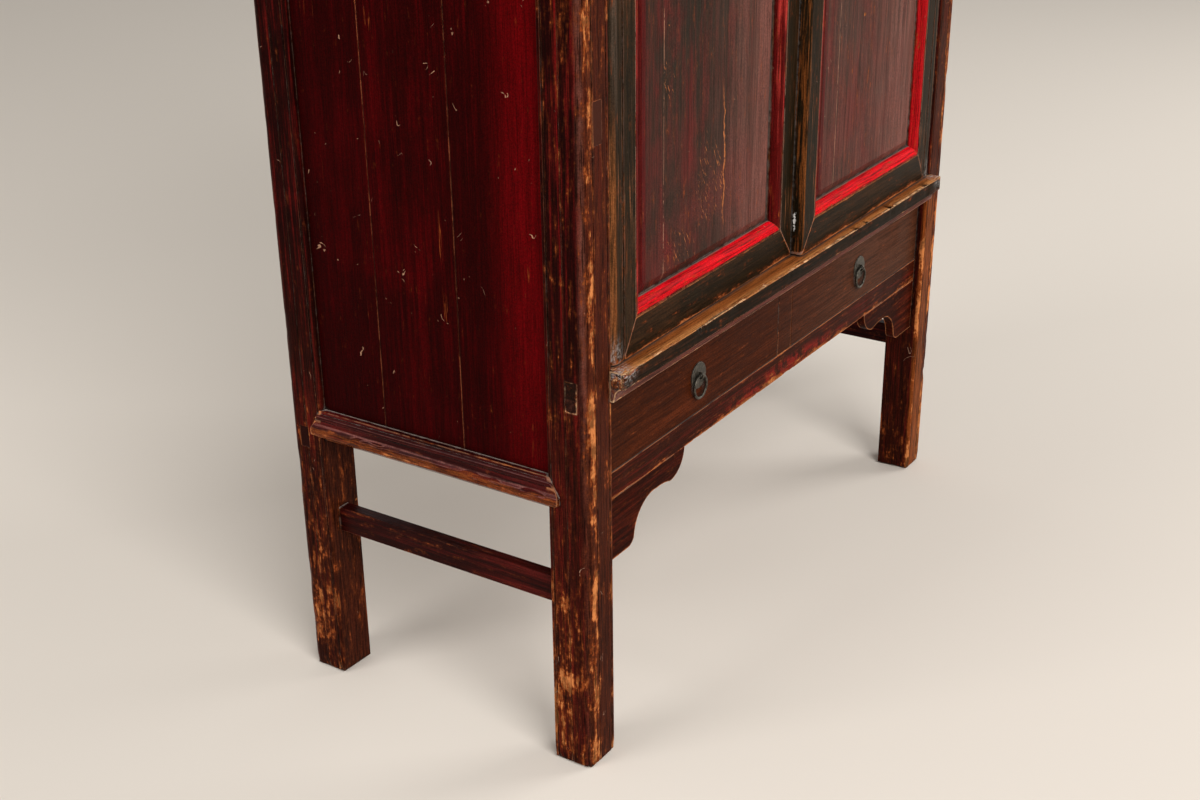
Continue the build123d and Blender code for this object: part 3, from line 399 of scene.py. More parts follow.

# %% [markdown]
# ## One recipe for aged lacquer
# The recipe stacks what time stacked: clouded lacquer, streaks of grain, undercoat where it is
# rubbed thin, elm where it is chipped through, scratches, dirt and dust, and painted shade in the
# hollows. Each finish calls it with its own colours. A finish that wears, fades or carries a
# painted sheen by place adds that through small functions, which return a map: one for the wear,
# and one with each tint. The order matters, because dust lies on chips and chips cut through tints.

# %% Aged lacquer
def aged_lacquer(name, deep, main, bright, squeeze, cloud_size=4.0, clear=0.5, streaks=0.6,
                 edge=0.6, edge_width=0.003, flakes=0.12, specks=0.4, dust=0.5, gloss=0.36,
                 sheen=0.06, seed=0.0, wear=None, tints=(), elm=ORANGE_ELM, line=0.3,
                 line_colour=(0.320, 0.130, 0.060), veins=0.25):
    """A worn lacquer; wear(on) maps extra wear, tints hold pairs of a colour and its map."""
    material, on = new_material(name)
    tree = on.tree
    grain = use(tree, timber_grain, Squeeze=squeeze(on) if callable(squeeze) else squeeze,
                Seed=seed)
    fibre, hair = grain["Fibre"], grain["Hair"]
    cloud = clouds(on.point, cloud_size, 5.0, 0.58, 0.5)
    mixed = grain["Figure"] * 0.7 + cloud + fibre * 0.5
    colour = blend(ramp(mixed, 1.35 - 0.6 * clear, 1.80 - 0.6 * clear), deep, main)
    colour = blend(ramp(cloud * 0.4 + fibre, 0.66, 0.90) * streaks, colour, bright)
    for tint, amount in tints:
        colour = blend(amount(on) * ramp(fibre, 0.25, 0.60, 0.45, 1.0), colour, tint)
    colour = blend(ramp(hair, 0.45, 0.36) * veins, colour, GRIME_AND_SHADE)
    colour = scaled(colour, ramp(clouds(on.point, 620.0, 3.0, 0.7), 0.30, 0.70, 0.62, 1.38)
                    * ramp(hair, 0.30, 0.70, 0.76, 1.24))
    flaked = use(tree, flaking, Chip_Point=grain["Chip Point"], Figure=grain["Figure"],
                 Width=edge_width, Edge=edge, Specks=specks,
                 Line=line(on) if callable(line) else line,
                 Wear=wear(on) + flakes if wear else flakes)
    bare = flaked["Bare Wood"]
    colour = blend(flaked["Rubbed"] * 0.35, colour, UNDERCOAT)
    colour = blend(flaked["Undercoat"], colour, UNDERCOAT)
    colour = blend(bare, colour, worn_elm(on, fibre, elm))
    colour = blend(flaked["Arris"], colour, line_colour)
    colour = blend(flaked["Scratches"], colour, SCRATCH)
    settled = use(tree, dust_and_hollow_shade, Amount=dust)
    # painted shade: every hollow, also between two pieces, is darkened
    colour = blend(ramp(settled["Hollow"], 0.15, 0.65) * 0.8, colour, GRIME_AND_SHADE)
    colour = blend(settled["Dust"], colour, DUST)
    roughness = (bare * 0.35 + settled["Dust"] * 0.5
                 + ramp(cloud, 0.3, 0.7, gloss - 0.08, gloss + 0.10)).clamped()
    height = (fibre * 0.5 - flaked["Undercoat"] * 0.6 - grain["Pores"] * 0.3 - bare * 0.5)
    shade(tree, {"Base Color": colour, "Roughness": roughness, "Specular IOR Level": sheen},
          height, 0.6, 0.0007)
    print(name, "has", len(tree.nodes), "nodes")
    return material


# %% [markdown]
# ## A few places on the cabinet
# Wear follows use, so the finishes need to know where the posts' faces and the sill are. Typing
# the numbers would do for one cabinet. They are read from the boxes of the solids instead, so
# they still fit when a size changes. All are in metres.

# %% Places that the wear refers to
post_low, post_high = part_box("post_front_left")
sill_low, sill_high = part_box("door_sill")
moulding_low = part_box("side_lower_rail_left")[0]
SIDE_FACE, INNER_FACE = -post_low.x, -post_high.x
FRONT_FACE, BACK_FACE = post_low.y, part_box("post_back_left")[1].y
print("posts:", round((post_high.x - post_low.x) * 1000, 1), "mm square")

# %% [markdown]
# ## The posts
# A post is the most handled piece. Its rolled outer corner takes the knocks, most of all towards
# the front, its foot is scuffed, and below the sill the right one is rubbed to orange. Painting
# such marks as a texture would fix them to one size of cabinet. Here the distances to the post's
# own faces place them, and the boards shelter the upper part of the back posts.

# %% Wear of the posts
def from_faces(on):
    """How far a point lies behind the posts' side faces, and behind the front or back."""
    return SIDE_FACE - abs(on.x), smaller(on.y - FRONT_FACE, BACK_FACE - on.y)


def post_wear(on):
    """Chips gather where the rolled corner meets the front, and on the lower leg."""
    from_side, from_front = from_faces(on)
    corner = (ramp(abs(from_side - 0.015), 0.013, 0.003) * ramp(from_front, 0.012, 0.003)
              * ramp(on.z, 0.95, 0.45, 0.22, 0.56))
    scuffed = ramp(on.z, 0.42, 0.06, 0.0, 0.28) * ramp(from_side, 0.004, 0.001, 0.30, 1.0)
    inner = (ramp(abs(on.x), INNER_FACE + 0.009, INNER_FACE + 0.002)
             * ramp(from_front, 0.009, 0.003) * ramp(on.z, sill_high.z, sill_low.z, 0.10, 0.44))
    behind_corner = (ramp(from_side, 0.004, 0.001) * ramp(on.y - FRONT_FACE, 0.016, 0.028)
                     * (on.y < 0.0) * ramp(on.z, 0.34, 0.16, 0.0, 0.24))
    sheltered = (on.y > 0.0) * ramp(on.z, 0.36, 0.46, 0.0, 0.16)
    return corner + scuffed + inner + behind_corner - sheltered


print("posts wear between", round(INNER_FACE, 3), "and", round(SIDE_FACE, 3), "m from the middle")

# %% [markdown]
# ## Colours of the posts
# Where lacquer stays, it still changes colour: the rolled corner carries a greyish pink painted
# sheen, the front faces are browner, partly as a painted sheen, the legs are browner and streaked
# with dirt, and a thin brighter red line runs up the side face.

# %% Post lacquer
def post_roll_painted_sheen(on):
    """The rolled outer corner above the sill is painted greyish pink, a painted sheen."""
    from_side, from_front = from_faces(on)
    crest = ramp(from_side, 0.009, 0.004) * ramp(from_front, 0.011, 0.004)
    sheen_patches = ramp(clouds(on.point, 55.0, 5.0, 0.65), 0.34, 0.62, 0.35, 1.0)
    return crest * sheen_patches * ramp(on.z, 0.30, 0.62, 0.20, 0.75)


def post_red_line(on):
    """A thin line of brighter red runs up the side face, a finger's width behind the corner."""
    sway = clouds(on.point, 3.0, 2.0) * 0.006 + (FRONT_FACE + 0.027)
    return ramp(abs(on.y - sway), 0.0015, 0.0005) * ramp(on.z, 0.50, 0.70, 0.0, 0.7)


def post_bare_front(on):
    """The right front post is rubbed to orange below the sill, where drawers and hands pass."""
    across = (ramp(on.x, INNER_FACE - 0.01, INNER_FACE)
              * ramp(on.x, INNER_FACE + 0.040, INNER_FACE + 0.024))
    return (across * ramp(on.y, FRONT_FACE + 0.008, FRONT_FACE + 0.002)
            * ramp(on.z, sill_low.z + 0.004, sill_low.z - 0.01, 0.0, 0.80))


def post_black_streaks(on):
    """Dirt has blackened the open grain of the legs and of every rubbed place."""
    lanes = clouds(stretched(on.point, (420.0, 420.0, 14.0), (1.0, 2.0, 3.0)), 1.0, 4.0, 0.7)
    return ramp(lanes, 0.52, 0.42) * larger(ramp(on.z, 0.60, 0.25, 0.0, 0.70),
                                            post_bare_front(on))


def post_browning_and_painted_sheen(on):
    """The lacquer is thinner and browner towards the feet; the browner front faces are partly a
    painted sheen.
    """
    beside_boards = (on.y > 0.0) * (on.z > moulding_low.z)
    # front faces, found by their normal, are painted browner, partly as a painted sheen
    front = (ramp(abs(on.facing()[1]), 0.35, 0.85) - beside_boards).clamped()
    return (front * 0.75 + ramp(on.z, 0.75, 0.15, 0.0, 0.32)).clamped()


post_finish = aged_lacquer(
    "post lacquer", (0.011, 0.0012, 0.0010), (0.038, 0.0032, 0.0024), (0.110, 0.0050, 0.0040), UP,
    cloud_size=9.0, clear=0.6, streaks=0.8, edge=0.24, flakes=0.18, specks=3.2, sheen=0.015,
    wear=post_wear, line_colour=(0.300, 0.130, 0.070), veins=0.7,
    elm=(0.500, 0.170, 0.052),
    # the browner front faces are partly a painted sheen
    # the greyish pink tint on the rolled corner is a painted sheen
    tints=[((0.056, 0.0122, 0.0052), post_browning_and_painted_sheen), ((0.120, 0.042, 0.029), post_roll_painted_sheen),
           ((0.120, 0.0040, 0.0040), post_red_line), ((0.270, 0.066, 0.013), post_bare_front),
           ((0.012, 0.0040, 0.0025), post_black_streaks)])

# %% [markdown]
# ## The side boards
# Three upright boards fill each side, deep red and clouded with black. They shrank, so the
# lacquer broke along their joints, and many moves left curled scratches and pinpricks. A curl is
# a short piece of a noise's contour line, and a pinprick is a rare random cell, which looks less
# ruled than drawn lines and dots would.

# %% Side board lacquer
BOARDS_FRONT = post_high.y
BOARD_JOINTS = (BOARDS_FRONT + 0.129, BOARDS_FRONT + 0.254)


def front_board_painted_sheen(on):
    """The boards are painted a brighter red beside the front post, a painted sheen."""
    return ramp(on.y, BOARDS_FRONT + 0.090, BOARDS_FRONT + 0.030, 0.0, 0.80)


def towards_back(on):
    """The boards darken towards the back post and the lower rail."""
    return (ramp(on.y, 0.02, 0.17) * 0.45 + ramp(on.z, 0.62, 0.42, 0.0, 0.45)).clamped()


def board_joints(on):
    """The lacquer has broken along the two joints between the boards."""
    near, far = (abs(on.y - joint) for joint in BOARD_JOINTS)
    broken = ramp(clouds(on.point, 22.0, 6.0, 0.8), 0.44, 0.60, 0.12, 0.95)
    return ramp(smaller(near, far), 0.0011, 0.0005) * broken


def board_marks(on):
    """Pale curled scratches and pinpricks, scattered over the boards."""
    curl = ramp(abs(clouds(on.point, 34.0, 1.0, 0.5, 0.9) - 0.5), 0.018, 0.006)
    elsewhere = stretched(on.point, (38.0, 38.0, 38.0), (3.0, 1.0, 2.0))
    short = ramp(clouds(elsewhere, 1.0, 3.0, 0.6), 0.650, 0.685)
    distance, luck, size = cells(on.point, 52.0)
    return larger(curl * short, (luck > 0.965) * (distance < size * 0.045 + 0.020))


side_finish = aged_lacquer(
    "side board lacquer", (0.018, 0.0006, 0.0006), (0.046, 0.0005, 0.0010), (0.068, 0.0008, 0.0014),
    UP, cloud_size=6.0, clear=0.55, streaks=0.4, edge=0.70, edge_width=0.0018, flakes=-0.10,
    specks=0.9, gloss=0.32, sheen=0.012, seed=3.1, line=1.0, dust=0.10,
    line_colour=(0.420, 0.150, 0.075), veins=0.12,
    # the brighter red beside the front post is a painted sheen
    tints=[((0.105, 0.0008, 0.0018), front_board_painted_sheen), ((0.017, 0.0005, 0.0006), towards_back),
           ((0.400, 0.110, 0.045), board_joints), ((0.430, 0.230, 0.140), board_marks)])

# %% [markdown]
# ## Rails, stretchers and the top
# A rail wears along its lower arris, where knees and brooms meet it. The moulded side rails have
# a greyish pink painted highlight on the crest and a nose rubbed to orange brown, and the drawer
# rail is still red under the muntin. The crest is found by how far the surface faces up, which
# follows the moulding's curve without a second measurement of it. Pieces out of sight get the plain
# finish.

# %% Rail, stretcher and top lacquers
rail_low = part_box("drawer_rail")[0]


def lower_arris_wear(low, high, most):
    """Wear that grows towards a rail's lower edge."""
    return lambda on: ramp(on.z, low, high, most, 0.0)


def spot(on, middle, reach):
    """1 in the middle of a spot on the front, 0 beyond its reach in x and z."""
    right, up = (on.x - middle[0]) / reach[0], (on.z - middle[1]) / reach[1]
    return ramp((right * right + up * up).math("SQRT"), 1.0, 0.45)


def rail_red(on):
    """Under the muntin, where no hand pulls, the drawer rail is still red."""
    patch = ramp(clouds(on.point, 60.0, 5.0, 0.65), 0.40, 0.55)
    return spot(on, (0.01, rail_low.z + 0.008), (0.22, 0.020)) * patch


def rail_crest_painted_highlight(on):
    """The crest of the side rail's bead is painted greyish pink, a painted highlight."""
    upward = on.facing()[2]
    crest = ramp(upward, 0.32, 0.38) * ramp(upward, 0.48, 0.40)
    return crest * ramp(clouds(on.point, 48.0, 5.0, 0.7), 0.36, 0.56, 0.25, 0.80)


def moulding_nose(on):
    """The nose band of the side rails is rubbed to orange brown."""
    wobble = clouds(on.point, 26.0, 4.0, 0.6) * 0.012 - 0.006
    band = ramp(on.z + wobble, moulding_low.z + 0.023, moulding_low.z + 0.018)
    lanes = clouds(stretched(on.point, (0.0, 40.0, 420.0)), 1.0, 4.0, 0.7)
    return band * ramp(lanes, 0.40, 0.56, 0.15, 0.90)


drawer_rail_finish = aged_lacquer(
    "front rail lacquer", (0.026, 0.0050, 0.0018), (0.072, 0.0110, 0.0042), (0.130, 0.010, 0.006),
    ACROSS, streaks=0.6, edge=0.70, dust=0.25, seed=5.2, sheen=0.015,
    wear=lower_arris_wear(rail_low.z, rail_low.z + 0.014, 0.50), line=1.0,
    line_colour=(0.350, 0.120, 0.050), tints=[((0.170, 0.010, 0.006), rail_red)])
plain_finish = aged_lacquer(
    "top and lintel lacquer", (0.018, 0.003, 0.0012), (0.060, 0.0085, 0.0035),
    (0.110, 0.012, 0.005), ACROSS, streaks=0.5, edge=0.8, seed=6.1, sheen=0.015,
    gloss=0.52, line=0.6)
side_rail_finish = aged_lacquer(
    "side rail lacquer", (0.020, 0.0014, 0.0013), (0.054, 0.0032, 0.0030), (0.110, 0.008, 0.007),
    INWARD, edge=0.50, flakes=0.07, dust=0.9, seed=7.7, gloss=0.20,
    wear=lower_arris_wear(moulding_low.z + 0.012, moulding_low.z + 0.024, 0.40), line=0.45,
    line_colour=(0.400, 0.190, 0.105), veins=0.4,
    # the greyish pink on the bead's crest is a painted highlight
    tints=[((0.180, 0.065, 0.055), rail_crest_painted_highlight), ((0.170, 0.040, 0.008), moulding_nose)])
stretcher_finish = aged_lacquer(
    "stretcher lacquer", (0.014, 0.0016, 0.0012), (0.054, 0.0040, 0.0026), (0.090, 0.008, 0.006),
    INWARD, edge=0.5, dust=0.9, seed=8.3, sheen=0.04, elm=(0.480, 0.185, 0.070))

# %% [markdown]
# ## The sill
# Everything that goes into the cabinet is dragged over the sill. Its top is bare and brown,
# palest at the front arris, its band is black, its cove is painted a lighter red as a painted
# highlight, and old cobwebs hang on at both ends. The ends of its tenons lie in the posts' faces,
# so they take the posts' dark colour.

# %% Sill lacquer
SILL_BAND_LOW = sill_high.z - 0.0205
SILL_TENON = 0.505
WEB = (0.480, 0.440, 0.420)


def sill_top(on):
    """1 on the sill's top, 0 below it."""
    return ramp(on.z, sill_high.z - 0.0015, sill_high.z - 0.0005)


def sill_wear(on):
    """The sill's top is rubbed, most of all near its front arris, and its ends are battered."""
    front_arris = ramp(on.y, sill_low.y + 0.008, sill_low.y + 0.001, 0.04, 0.62)
    end = (ramp(abs(on.x), 0.440, 0.470, 0.0, 0.30)
           * ramp(abs(on.x), SILL_TENON + 0.005, SILL_TENON))
    return sill_top(on) * front_arris + end


def sill_line(on):
    """The worn line along the sill's arrises; around the tenons' ends it is broken and faint."""
    broken = ramp(clouds(on.point, 85.0, 2.0), 0.44, 0.62, 0.0, 0.40)
    return (ramp(abs(on.x), SILL_TENON - 0.005, SILL_TENON, 0.85, 0.0)
            + broken * (abs(on.x) > SILL_TENON))


def sill_front_arris(on):
    """The wood is palest along the last few millimetres of the sill's top."""
    return sill_top(on) * ramp(on.y, sill_low.y + 0.014, sill_low.y + 0.003, 0.0, 0.8)


def sill_cove_painted_highlight(on):
    """The cove under the band is painted a lighter red, a painted highlight."""
    return ramp(on.z, SILL_BAND_LOW - 0.0005, SILL_BAND_LOW - 0.002)


def sill_tenon_end(on):
    """1 on the ends of the sill's tenons, which lie in the posts' outer faces."""
    return abs(on.x) > SIDE_FACE - 0.002


def sill_end_dust(on):
    """Old cobwebs and dust lie where the sill meets the posts and the door's foot."""
    end = ramp(abs(on.x), 0.440, INNER_FACE, 0.0, 0.85) * (abs(on.x) < SILL_TENON)
    webs = ramp(clouds(on.point, 130.0, 5.0, 0.75, 2.0), 0.45, 0.56)
    low = (ramp(on.z, sill_high.z + 0.045, sill_high.z - 0.004)
           * ramp(on.z, sill_high.z - 0.014, sill_high.z - 0.005, 0.15, 1.0))
    return end * low * webs


sill_finish = aged_lacquer(
    "sill lacquer", (0.009, 0.0055, 0.0026), (0.026, 0.0120, 0.0055), (0.070, 0.020, 0.010),
    ACROSS, streaks=0.3, edge=0.50, flakes=0.10, dust=0.12, seed=8.8, gloss=0.40,
    sheen=0.02, wear=sill_wear, line=sill_line, line_colour=(0.720, 0.460, 0.270), veins=0.6,
    elm=(0.680, 0.370, 0.180),
    tints=[((0.270, 0.076, 0.017), sill_top), ((0.560, 0.230, 0.070), sill_front_arris),
           # the lighter red on the cove is a painted highlight
           ((0.125, 0.0370, 0.0260), sill_cove_painted_highlight), ((0.014, 0.0045, 0.0030), sill_tenon_end),
           (WEB, sill_end_dust)])

# %% [markdown]
# ## The door frames
# The stiles and rails of the doors are black with a green cast. The round edge beside the pivot
# is rubbed through where hands hold it, fingers have streaked the two meeting edges, and a drip
# of white paint has dried on one of them. The marks are placed by x and z, because a door's
# coordinates are those that it has at rest, and they travel with it when it opens.

# %% Door frame lacquers
HINGE_BEAD = 0.463
DRIP_BACK, DRIP_LOW, DRIP_HIGH = -0.2177, 0.566, 0.594


def door_edge_wear(on):
    """Doors wear where they rub on the sill, along the last few millimetres."""
    return ramp(on.z, sill_high.z + 0.012, sill_high.z + 0.004, 0.0, 0.40)


def hinge_bead_wear(on):
    """The round edge beside the pivot is rubbed through below the height of a hand."""
    lanes = clouds(stretched(on.point, (260.0, 260.0, 16.0)), 1.0, 4.0, 0.7)
    return (ramp(abs(on.x), HINGE_BEAD - 0.003, HINGE_BEAD + 0.001)
            * ramp(lanes, 0.40, 0.54, 0.25, 1.0) * ramp(on.z, 0.88, 0.72, 0.0, 0.75))


def hinge_bead_painted_sheen(on):
    """Above that the round edge is painted a lighter olive, a painted sheen."""
    return ramp(abs(abs(on.x) - HINGE_BEAD), 0.0070, 0.0020) * ramp(on.z, 0.74, 0.90, 0.0, 0.7)


def meeting_edge_wear(on):
    """Fingers have rubbed the two meeting edges in streaks."""
    lanes = clouds(stretched(on.point, (240.0, 240.0, 11.0), (5.0, 0.0, 0.0)), 1.0, 4.0, 0.7)
    return ramp(abs(on.x), 0.009, 0.004) * ramp(lanes, 0.50, 0.60, 0.0, 0.9)


def stile_scratches(on):
    """Long thin scratches run down the flat of the hinge stile, near its foot."""
    lanes = clouds(stretched(on.point, (620.0, 1.0, 9.0), (4.0, 0.0, 2.0)), 1.0, 2.0)
    return ramp(lanes, 0.66, 0.71) * ramp(on.z, 0.90, 0.74, 0.0, 0.8)


def paint_drip(on):
    """A drip of white paint has dried on the meeting edge of the right door."""
    sway = clouds(on.point, 120.0, 2.0) * 0.006 + DRIP_BACK
    thin = (ramp(on.z, DRIP_LOW, DRIP_HIGH, 0.0012, 0.0026)
            * ramp(clouds(on.point, 340.0, 2.0), 0.36, 0.60, 0.0, 1.3))
    on_edge = (on.x > 0.0) * (on.x < 0.004)
    return (abs(on.y - sway) < thin) * (on.z > DRIP_LOW) * (on.z < DRIP_HIGH) * on_edge


stile_finish = aged_lacquer(
    "door stile lacquer", (0.012, 0.0078, 0.0036), (0.032, 0.0170, 0.0078), (0.056, 0.024, 0.011),
    UP, streaks=0.30, edge=0.55, flakes=0.08, specks=0.7, seed=1.3, sheen=0.022,
    wear=door_edge_wear, line=0.95, line_colour=(0.270, 0.150, 0.105), veins=0.35,
    # the lighter olive on the round edge is a painted sheen
    tints=[((0.078, 0.053, 0.037), hinge_bead_painted_sheen), ((0.290, 0.095, 0.028), hinge_bead_wear),
           ((0.300, 0.110, 0.045), stile_scratches), ((0.200, 0.060, 0.014), meeting_edge_wear),
           (WEB, sill_end_dust), ((0.900, 0.860, 0.820), paint_drip)])
door_rail_finish = aged_lacquer(
    "door rail lacquer", (0.012, 0.0070, 0.0028), (0.032, 0.0140, 0.0058), (0.058, 0.024, 0.010),
    ACROSS, streaks=0.30, edge=0.60, flakes=0.10, dust=0.12, seed=2.9, sheen=0.022,
    wear=door_edge_wear, line=0.6, line_colour=(0.320, 0.120, 0.050), veins=0.35)

# %% [markdown]
# ## The panel mouldings
# A red moulding runs around each panel in four mitred strips. One piece holds all four, so its
# grain has to turn at the mitres. The strips could be told apart by their place, but a level
# strip is the only kind that faces partly up or down, and that test needs no measurement. The
# level strips are painted a brighter red than the upright ones, as a painted highlight.

# %% Moulding lacquer
PANEL_LEFT, PANEL_PITCH = -0.4032, 0.4559


def level_strips(on):
    """1 on the level strips of a moulding, 0 on the upright ones."""
    return abs(on.facing("True Normal")[2]) > 0.05


def strip_direction(on):
    """The squeeze of the grain, so that it runs along each strip."""
    return made(on.tree, "ShaderNodeMix", 1, {"Factor": level_strips(on), 4: UP, 5: ACROSS},
                data_type="VECTOR")


def across_panel(on):
    """0 at a panel's left edge, 1 at the same place of the next panel."""
    return ((on.x - PANEL_LEFT) / PANEL_PITCH).math("FRACT")


def moulding_groove_painted_shade(on):
    """The quirk up the middle of the upright strips is painted dark, a painted shade."""
    off = abs(across_panel(on) - 0.7465)
    return ramp(off, 0.0062, 0.0036, 0.0, 0.90) * (1.0 - level_strips(on))


def moulding_far_strip(on):
    """The upright strip beside the right hinge is a brighter red."""
    return ramp(on.x, 0.34, 0.38, 0.0, 0.85)


moulding_finish = aged_lacquer(
    "moulding lacquer", (0.070, 0.0030, 0.0026), (0.200, 0.0055, 0.0055), (0.400, 0.036, 0.028),
    strip_direction, cloud_size=12.0, clear=0.45, streaks=0.9, edge=0.60, edge_width=0.0022,
    flakes=0.20, specks=0.9, dust=0.7, seed=4.4, sheen=0.015, line=0.5, veins=0.5,
    tints=[((0.420, 0.0050, 0.0080), moulding_far_strip),
           # the brighter red on the level strips is a painted highlight, since they face up and the
           # uprights do not
           # the dark quirk in the upright strips is painted shade
           ((0.580, 0.0030, 0.0085), level_strips), ((0.055, 0.0030, 0.0030), moulding_groove_painted_shade)])

# %% [markdown]
# ## The door panels
# The panels were black over maroon. Their right parts turn greyish pink, partly lighter lacquer and
# partly a painted sheen, the lower parts are worn to maroon, and some patches keep more red. One
# joint between two boards has opened by a hair, and something sharp once scraped the left panel.
# Each of these is a map across the panel, and the recipe lays them over each other in the order of
# the list.

# %% Worn and faded parts of the panels
def panel_lower_red(on):
    """The black has worn off the lower part of the panels, down to a maroon."""
    cloud = ramp(clouds(on.point, 14.0, 4.0), 0.36, 0.60, 0.25, 1.0)
    return ramp(on.z, 0.86, 0.66, 0.0, 0.80) * cloud


def red_patches(on):
    """Large soft patches of the panel, taller than wide, keep more of their red."""
    tall = stretched(on.point, (17.0, 17.0, 6.5), (3.7, 0.0, 1.2))
    return ramp(clouds(tall, 1.0, 4.0, 0.55, 0.6), 0.48, 0.74, 0.0, 0.80)


def panel_bloom_and_painted_sheen(on):
    """Each panel's right part is painted greyish pink in upright streaks, partly lighter lacquer
    and partly a painted sheen.
    """
    streaks = clouds(stretched(on.point, (70.0, 70.0, 1.5), (0.0, 0.0, 5.0)), 1.0, 3.0)
    right_door = on.x > 0.0
    faded_and_sheen = (right_door * 0.30 + ramp(across_panel(on), 0.32, 0.76, 0.0, 0.80)).clamped()
    return faded_and_sheen * ramp(streaks, 0.35, 0.62, 0.35, 1.0)


def margin_red_and_painted_shadow(on):
    """Dark red on the panel's left margin: the moulding's hidden slope, and its painted shadow."""
    return ramp(across_panel(on), 0.052, 0.044, 0.0, 0.9)


print("panels repeat every", PANEL_PITCH, "m")

# %% [markdown]
# ## Marks on the panels
# A scratch drawn as a straight line looks ruled. Noise sways this one, frays its sides, and
# tears the brushes of short scratches beside it. Round spots say where on the panel they are.

# %% Panel lacquer
def panel_joint(on):
    """The panel's two boards have parted by a hair, and the lacquer broke along the joint."""
    broken = ramp(clouds(on.point, 30.0, 4.0, 0.7), 0.40, 0.50)
    return ramp(abs(across_panel(on) - 0.139), 0.0022, 0.0010) * broken


def panel_scratches(on):
    """One long wavering scratch, and brushes of short slanting ones around it."""
    sway = clouds(on.point, 16.0, 3.0, 0.6) * 0.036 - 0.208
    frayed = ramp(clouds(on.point, 210.0, 3.0, 0.6), 0.35, 0.65, 0.0004, 0.0024)
    long = (abs(on.x - sway) < frayed) * spot(on, (-0.190, 0.715), (0.05, 0.105))
    slanted = made(on.tree, "ShaderNodeVectorRotate", 0, {"Vector": on.point, "Angle": 0.5},
                   rotation_type="Y_AXIS")
    brush = clouds(stretched(slanted, (520.0, 1.0, 60.0)), 1.0, 3.0, 0.6)
    where = (spot(on, (-0.225, 0.690), (0.060, 0.085)) + spot(on, (-0.330, 0.842), (0.022, 0.050))
             + spot(on, (-0.300, 0.625), (0.060, 0.040)))
    short = ramp(where * 0.12 + brush, 0.745, 0.775)
    return larger(long, short * ramp(where, 0.0, 0.2))


panel_finish = aged_lacquer(
    "door panel lacquer", (0.020, 0.0135, 0.0085), (0.045, 0.0135, 0.0090), (0.095, 0.0140, 0.0110),
    UP, cloud_size=7.0, clear=0.55, streaks=0.40, edge=0.50, edge_width=0.0025, flakes=0.10,
    specks=0.9, dust=0.8, seed=6.6, gloss=0.34, sheen=0.03, veins=0.20,
    tints=[((0.085, 0.0170, 0.0130), panel_lower_red), ((0.105, 0.0100, 0.0085), red_patches),
           # the dark red on each panel's left margin stands for the moulding's slope and its
           # painted shadow
           # the greyish pink on the panels' right parts is partly a painted sheen
           ((0.178, 0.068, 0.052), panel_bloom_and_painted_sheen), ((0.070, 0.0025, 0.0028), margin_red_and_painted_shadow),
           ((0.270, 0.130, 0.080), panel_joint), ((0.380, 0.120, 0.036), panel_scratches)])

# %% [markdown]
# ## The drawer fronts
# The drawers are plain: a thin brown lacquer over coarse elm, little worn because hands only
# touch the rings. One soft ramp paints the right drawer lighter, as a painted sheen.

# %% Drawer lacquer
def drawer_painted_sheen(on):
    """The right drawer is painted lighter, a painted sheen from the light on that side."""
    return ramp(on.x, -0.10, 0.30, 0.0, 0.30)


drawer_finish = aged_lacquer(
    "drawer lacquer", (0.036, 0.0070, 0.0016), (0.060, 0.0115, 0.0028), (0.090, 0.018, 0.005),
    ACROSS, cloud_size=6.0, streaks=0.35, edge=0.45, flakes=0.04, specks=0.25, seed=9.9,
    gloss=0.38, sheen=0.015, line=0.35, elm=(0.480, 0.185, 0.070),
    # the lighter tone on the right drawer is a painted sheen
    tints=[((0.135, 0.060, 0.034), drawer_painted_sheen)])

# %% [markdown]
# ## Bare timber inside
# Nobody lacquers what nobody sees. The inside, the back boards and the drawer boxes stay raw
# wood, brown with age and darker in the corners as painted shade. The lacquer recipe would be too
# much for them, so they get a short one. Each back board has a tone of its own. Only the ends of
# the through tenons, which lie in the posts' outer faces, share the posts' dark lacquer.

# %% Raw timber
BACK_BOARD = 0.192


def back_board_tones(on):
    """A tone for each of the five back boards, and the thin dark gaps between them."""
    counted = on.x / BACK_BOARD + 2.5
    tone = made(on.tree, "ShaderNodeTexWhiteNoise", "Value", {"W": counted.math("FLOOR")},
                noise_dimensions="1D")
    to_gap = counted.math("PINGPONG", 0.5)
    return (tone * 0.55 + 0.70) * ramp(to_gap, 0.004, 0.010, 0.12, 1.0)


def raw_timber(name, squeeze, seed, tones=None):
    """Unlacquered elm; tones(on) maps how light each board is."""
    material, on = new_material(name)
    pale, dark = (0.230, 0.118, 0.055), (0.115, 0.054, 0.026)
    grain = use(on.tree, timber_grain, Squeeze=squeeze, Seed=seed)
    fibre = grain["Fibre"]
    wood = blend(ramp(grain["Figure"], 0.26, 0.74), dark, pale)
    wood = blend(ramp(fibre, 0.35, 0.70, 0.0, 0.75), wood, darker(dark, 0.5))
    if tones:
        wood = scaled(wood, tones(on))
    settled = use(on.tree, dust_and_hollow_shade, Reach=0.02, Amount=0.2)
    # painted shade: the corners are darkened
    wood = blend(settled["Hollow"] * 0.6, wood, GRIME_AND_SHADE)
    wood = blend(abs(on.x) > SIDE_FACE - 0.001, wood, (0.016, 0.0030, 0.0020))
    wood = blend(on.y < FRONT_FACE + 0.001, wood, (0.046, 0.0130, 0.0075))
    shade(on.tree, {"Base Color": wood, "Roughness": ramp(fibre, 0.3, 0.7, 0.6, 0.8),
                    "Specular IOR Level": 0.03}, fibre - grain["Pores"] * 0.5, 0.6, 0.0006)
    print(name, "has", len(on.tree.nodes), "nodes")
    return material


